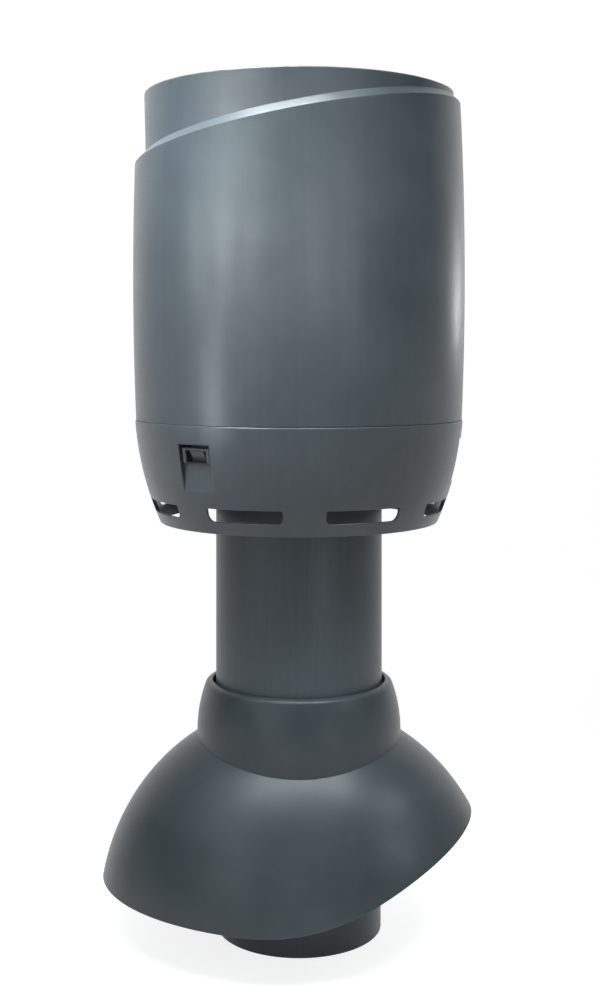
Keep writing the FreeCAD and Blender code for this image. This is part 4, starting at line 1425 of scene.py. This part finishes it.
@dataclass(frozen=True)
class PaintedFloor(Finish):
    """White studio floor, painted: even and matt, and shown white where no shadow falls on it."""

    paint: str = "#b4b4b4"
    roughness: float = 0.8
    glow: float = 0.83

    def dress(self, tree: Tree) -> None:
        """Builds the finish's nodes.

        Args:
            tree: The empty tree of its material.
        """
        ray = add_node(tree, "ShaderNodeLightPath").outputs
        seen = larger(tree, larger(tree, ray["Is Camera Ray"], ray["Is Glossy Ray"]), ray["Is Transmission Ray"])
        lift = add_node(tree, "ShaderNodeMath", {0: seen, 1: self.glow}, operation="MULTIPLY")
        coat(tree, {
            "Base Color": linear(self.paint), "Roughness": self.roughness, "Emission Color": (1.0, 1.0, 1.0, 1.0),
            "Emission Strength": lift.outputs[0]})


@dataclass
class Studio:
    """White room with gridded lamps, and the photograph's camera.

    Attributes:
        camera_place: Where the camera stands, in metres.
        lens: Its focal length.
        film_height: Height of its film.
        shift: How far its view is shifted down, in film heights.
        floor_size: Side of the floor, in metres.
        world_levels: Light from the camera's side and from behind the object.
        world_turn: Where on the way to the back the light starts to rise and where it is full.
        lamps: The lamps.
    """

    camera_place: tuple[float, float, float] = (-0.0003, -0.924, 0.381)
    lens: float = 50.0
    film_height: float = 36.0
    shift: float = -0.15
    floor_size: float = 30.0
    world_levels: tuple[float, float] = (0.04, 1.02)
    world_turn: tuple[float, float] = (0.12, 0.85)
    lamps: Sequence[Lamp] = (
        # Broad fills from the left.
        Lamp("fill_low", (-1.1, -1.65, 0.6), (0.0, 0.0, 0.33), (0.8, 0.8), 3.2),
        Lamp("fill_high", (-1.3, -1.0, 1.6), (0.0, 0.0, 0.33), (1.2, 1.2), 7.2),
        # The hood's bright band, on its left.
        Lamp("hood_left_1", (-1.427, -0.464, 0.54), (0.0, 0.0, 0.54), (0.3, 0.1), 0.036, 14.0),
        Lamp("hood_left_2", (-1.182, -0.923, 0.54), (0.0, 0.0, 0.54), (0.3, 0.1), 0.08, 14.0),
        Lamp("hood_left_3", (-0.795, -1.272, 0.53), (0.0, 0.0, 0.53), (0.3, 0.1), 0.036, 14.0),
        Lamp("hood_left_4", (-1.28, -0.75, 0.16), (0.0, 0.0, 0.4), (0.3, 0.1), 0.044, 14.0),
        # Its even front, and its rim on the right.
        Lamp("hood_front_1", (-0.312, -1.467, 0.5), (0.0, 0.0, 0.5), (0.3, 0.1), 0.02, 14.0),
        Lamp("hood_front_2", (0.26, -1.477, 0.5), (0.0, 0.0, 0.5), (0.3, 0.1), 0.024, 14.0),
        Lamp("hood_front_3", (0.795, -1.272, 0.5), (0.0, 0.0, 0.5), (0.3, 0.1), 0.016, 14.0),
        Lamp("hood_rim", (1.004, 1.115, 0.52), (0.0, 0.0, 0.52), (0.5, 0.25), 0.025, 6.0),
        # The white ledge, lit from straight above.
        Lamp("ledge_left", (-0.26, -0.03, 1.06), (-0.065, -0.06, 0.5), (0.1, 0.1), 0.1, 10.0),
        Lamp("ledge_middle", (-0.15, -0.073, 1.085), (-0.02, -0.085, 0.5), (0.1, 0.1), 0.016, 10.0),
        Lamp("ledge_right", (-0.06, -0.095, 1.09), (0.0, -0.095, 0.5), (0.1, 0.1), 0.02, 10.0),
        # The pipe between hood and skirt, from the right.
        Lamp("pipe_right", (0.7, -1.2, 0.2), (0.0, 0.0, 0.22), (0.3, 0.1), 0.014, 7.0),
        # The skirt's shoulder, from above the hood and past its front, and its right side.
        Lamp("skirt_left", (-0.35, -0.5, 1.3), (0.02, -0.05, 0.1), (0.35, 0.3), 0.22, 30.0),
        Lamp("skirt_middle", (0.05, -0.5, 1.4), (0.02, -0.05, 0.1), (0.35, 0.3), 0.25, 30.0),
        Lamp("skirt_right", (0.45, -0.45, 1.3), (0.02, -0.05, 0.1), (0.35, 0.3), 0.24, 30.0),
        Lamp("skirt_side_1", (1.2, -0.32, 1.2), (0.02, 0.0, 0.06), (0.5, 0.2), 0.036, 10.0),
        Lamp("skirt_side_2", (1.3, -0.75, 0.75), (0.02, 0.0, 0.06), (0.5, 0.2), 0.024, 10.0),
    )

    def make_world(self) -> None:
        """Lights the room from behind the object and leaves the other side dark, but shows it white all round."""
        world = bpy.data.worlds.new("white_room")
        bpy.context.scene.world = world
        world.use_nodes = True
        tree = world.node_tree
        tree.nodes.clear()
        way = add_node(tree, "ShaderNodeTexCoord").outputs["Generated"]
        parts = add_node(tree, "ShaderNodeSeparateXYZ", {0: way})
        level = ranged(tree, parts.outputs["Y"], self.world_turn, self.world_levels, "SMOOTHSTEP")
        ray = add_node(tree, "ShaderNodeLightPath")
        shown = larger(tree, level, ray.outputs["Is Camera Ray"])
        light = add_node(tree, "ShaderNodeBackground", {"Color": (1.0, 1.0, 1.0, 1.0), "Strength": shown})
        add_node(tree, "ShaderNodeOutputWorld", {"Surface": light.outputs[0]})

    def make_floor(self) -> None:
        """Makes the floor that the pipe stands on."""
        half = self.floor_size / 2
        mesh = bpy.data.meshes.new("floor")
        mesh.from_pydata([(-half, -half, 0), (half, -half, 0), (half, half, 0), (-half, half, 0)], [], [(0, 1, 2, 3)])
        mesh.materials.append(PaintedFloor("floor_paint").make())
        floor = put("floor", mesh)

    def make_camera(self) -> None:
        """Makes the camera, level and in front of the object, with its view shifted down."""
        data = bpy.data.cameras.new("camera")
        data.lens = self.lens
        data.sensor_fit = "VERTICAL"
        data.sensor_height = self.film_height
        data.shift_y = self.shift
        camera = put("camera", data)
        camera.location = self.camera_place
        camera.rotation_euler = (math.pi / 2, 0.0, 0.0)
        bpy.context.scene.camera = camera

    def build(self) -> None:
        """Makes the studio."""
        bpy.context.scene.view_settings.view_transform = "Standard"
        self.make_world()
        self.make_floor()
        self.make_camera()
        for lamp in self.lamps:
            lamp.build()


def main() -> None:
    """Builds every piece, then the studio, and logs how many faces each piece has."""
    logging.basicConfig(level=logging.INFO, format="%(message)s")
    hood = Hood()
    # The seals' sections, from the pipe outwards.
    collar_seal = Seal("collar_seal_ring", "collar_seal", [
        Corner(55.0, 150.0), Corner(57.0, 150.0), Corner(57.0, 158.3, 0.2), Corner(56.2, 159.5, 0.3),
        Corner(55.0, 159.5)])
    socket_seal = Seal("socket_seal_ring", "socket_seal", [
        Corner(55.0, 298.2, 0.3), Corner(56.2, 297.0, 0.3), Corner(57.98, 297.0, 0.2), Corner(57.98, 305.0, 0.2),
        Corner(55.0, 305.0, 0.2)])
    quarter_turns = [90.0 * number for number in range(4)]
    screws = [
        ScrewSet("skirt_screw_set", "skirt_screws", [45.0 + turn for turn in quarter_turns], 58.3, 51.0),
        ScrewSet("hood_screw_set", "hood_screws", [31.5 + hood.turn + turn for turn in quarter_turns], 58.3, 290.0),
        ScrewSet("cap_screw_set", "cap_screws", [hood.turn + turn for turn in hood.leg_turns], 330.6,
                 hood.cap_screw_radius, upright=True)]
    for piece in (VentPipe(), RoofSkirt(), collar_seal, HoodBase(hood), socket_seal, HoodShell(hood), RainCap(hood),
                  *screws):
        piece.build()
    Studio().build()


if __name__ == "__main__":
    main()
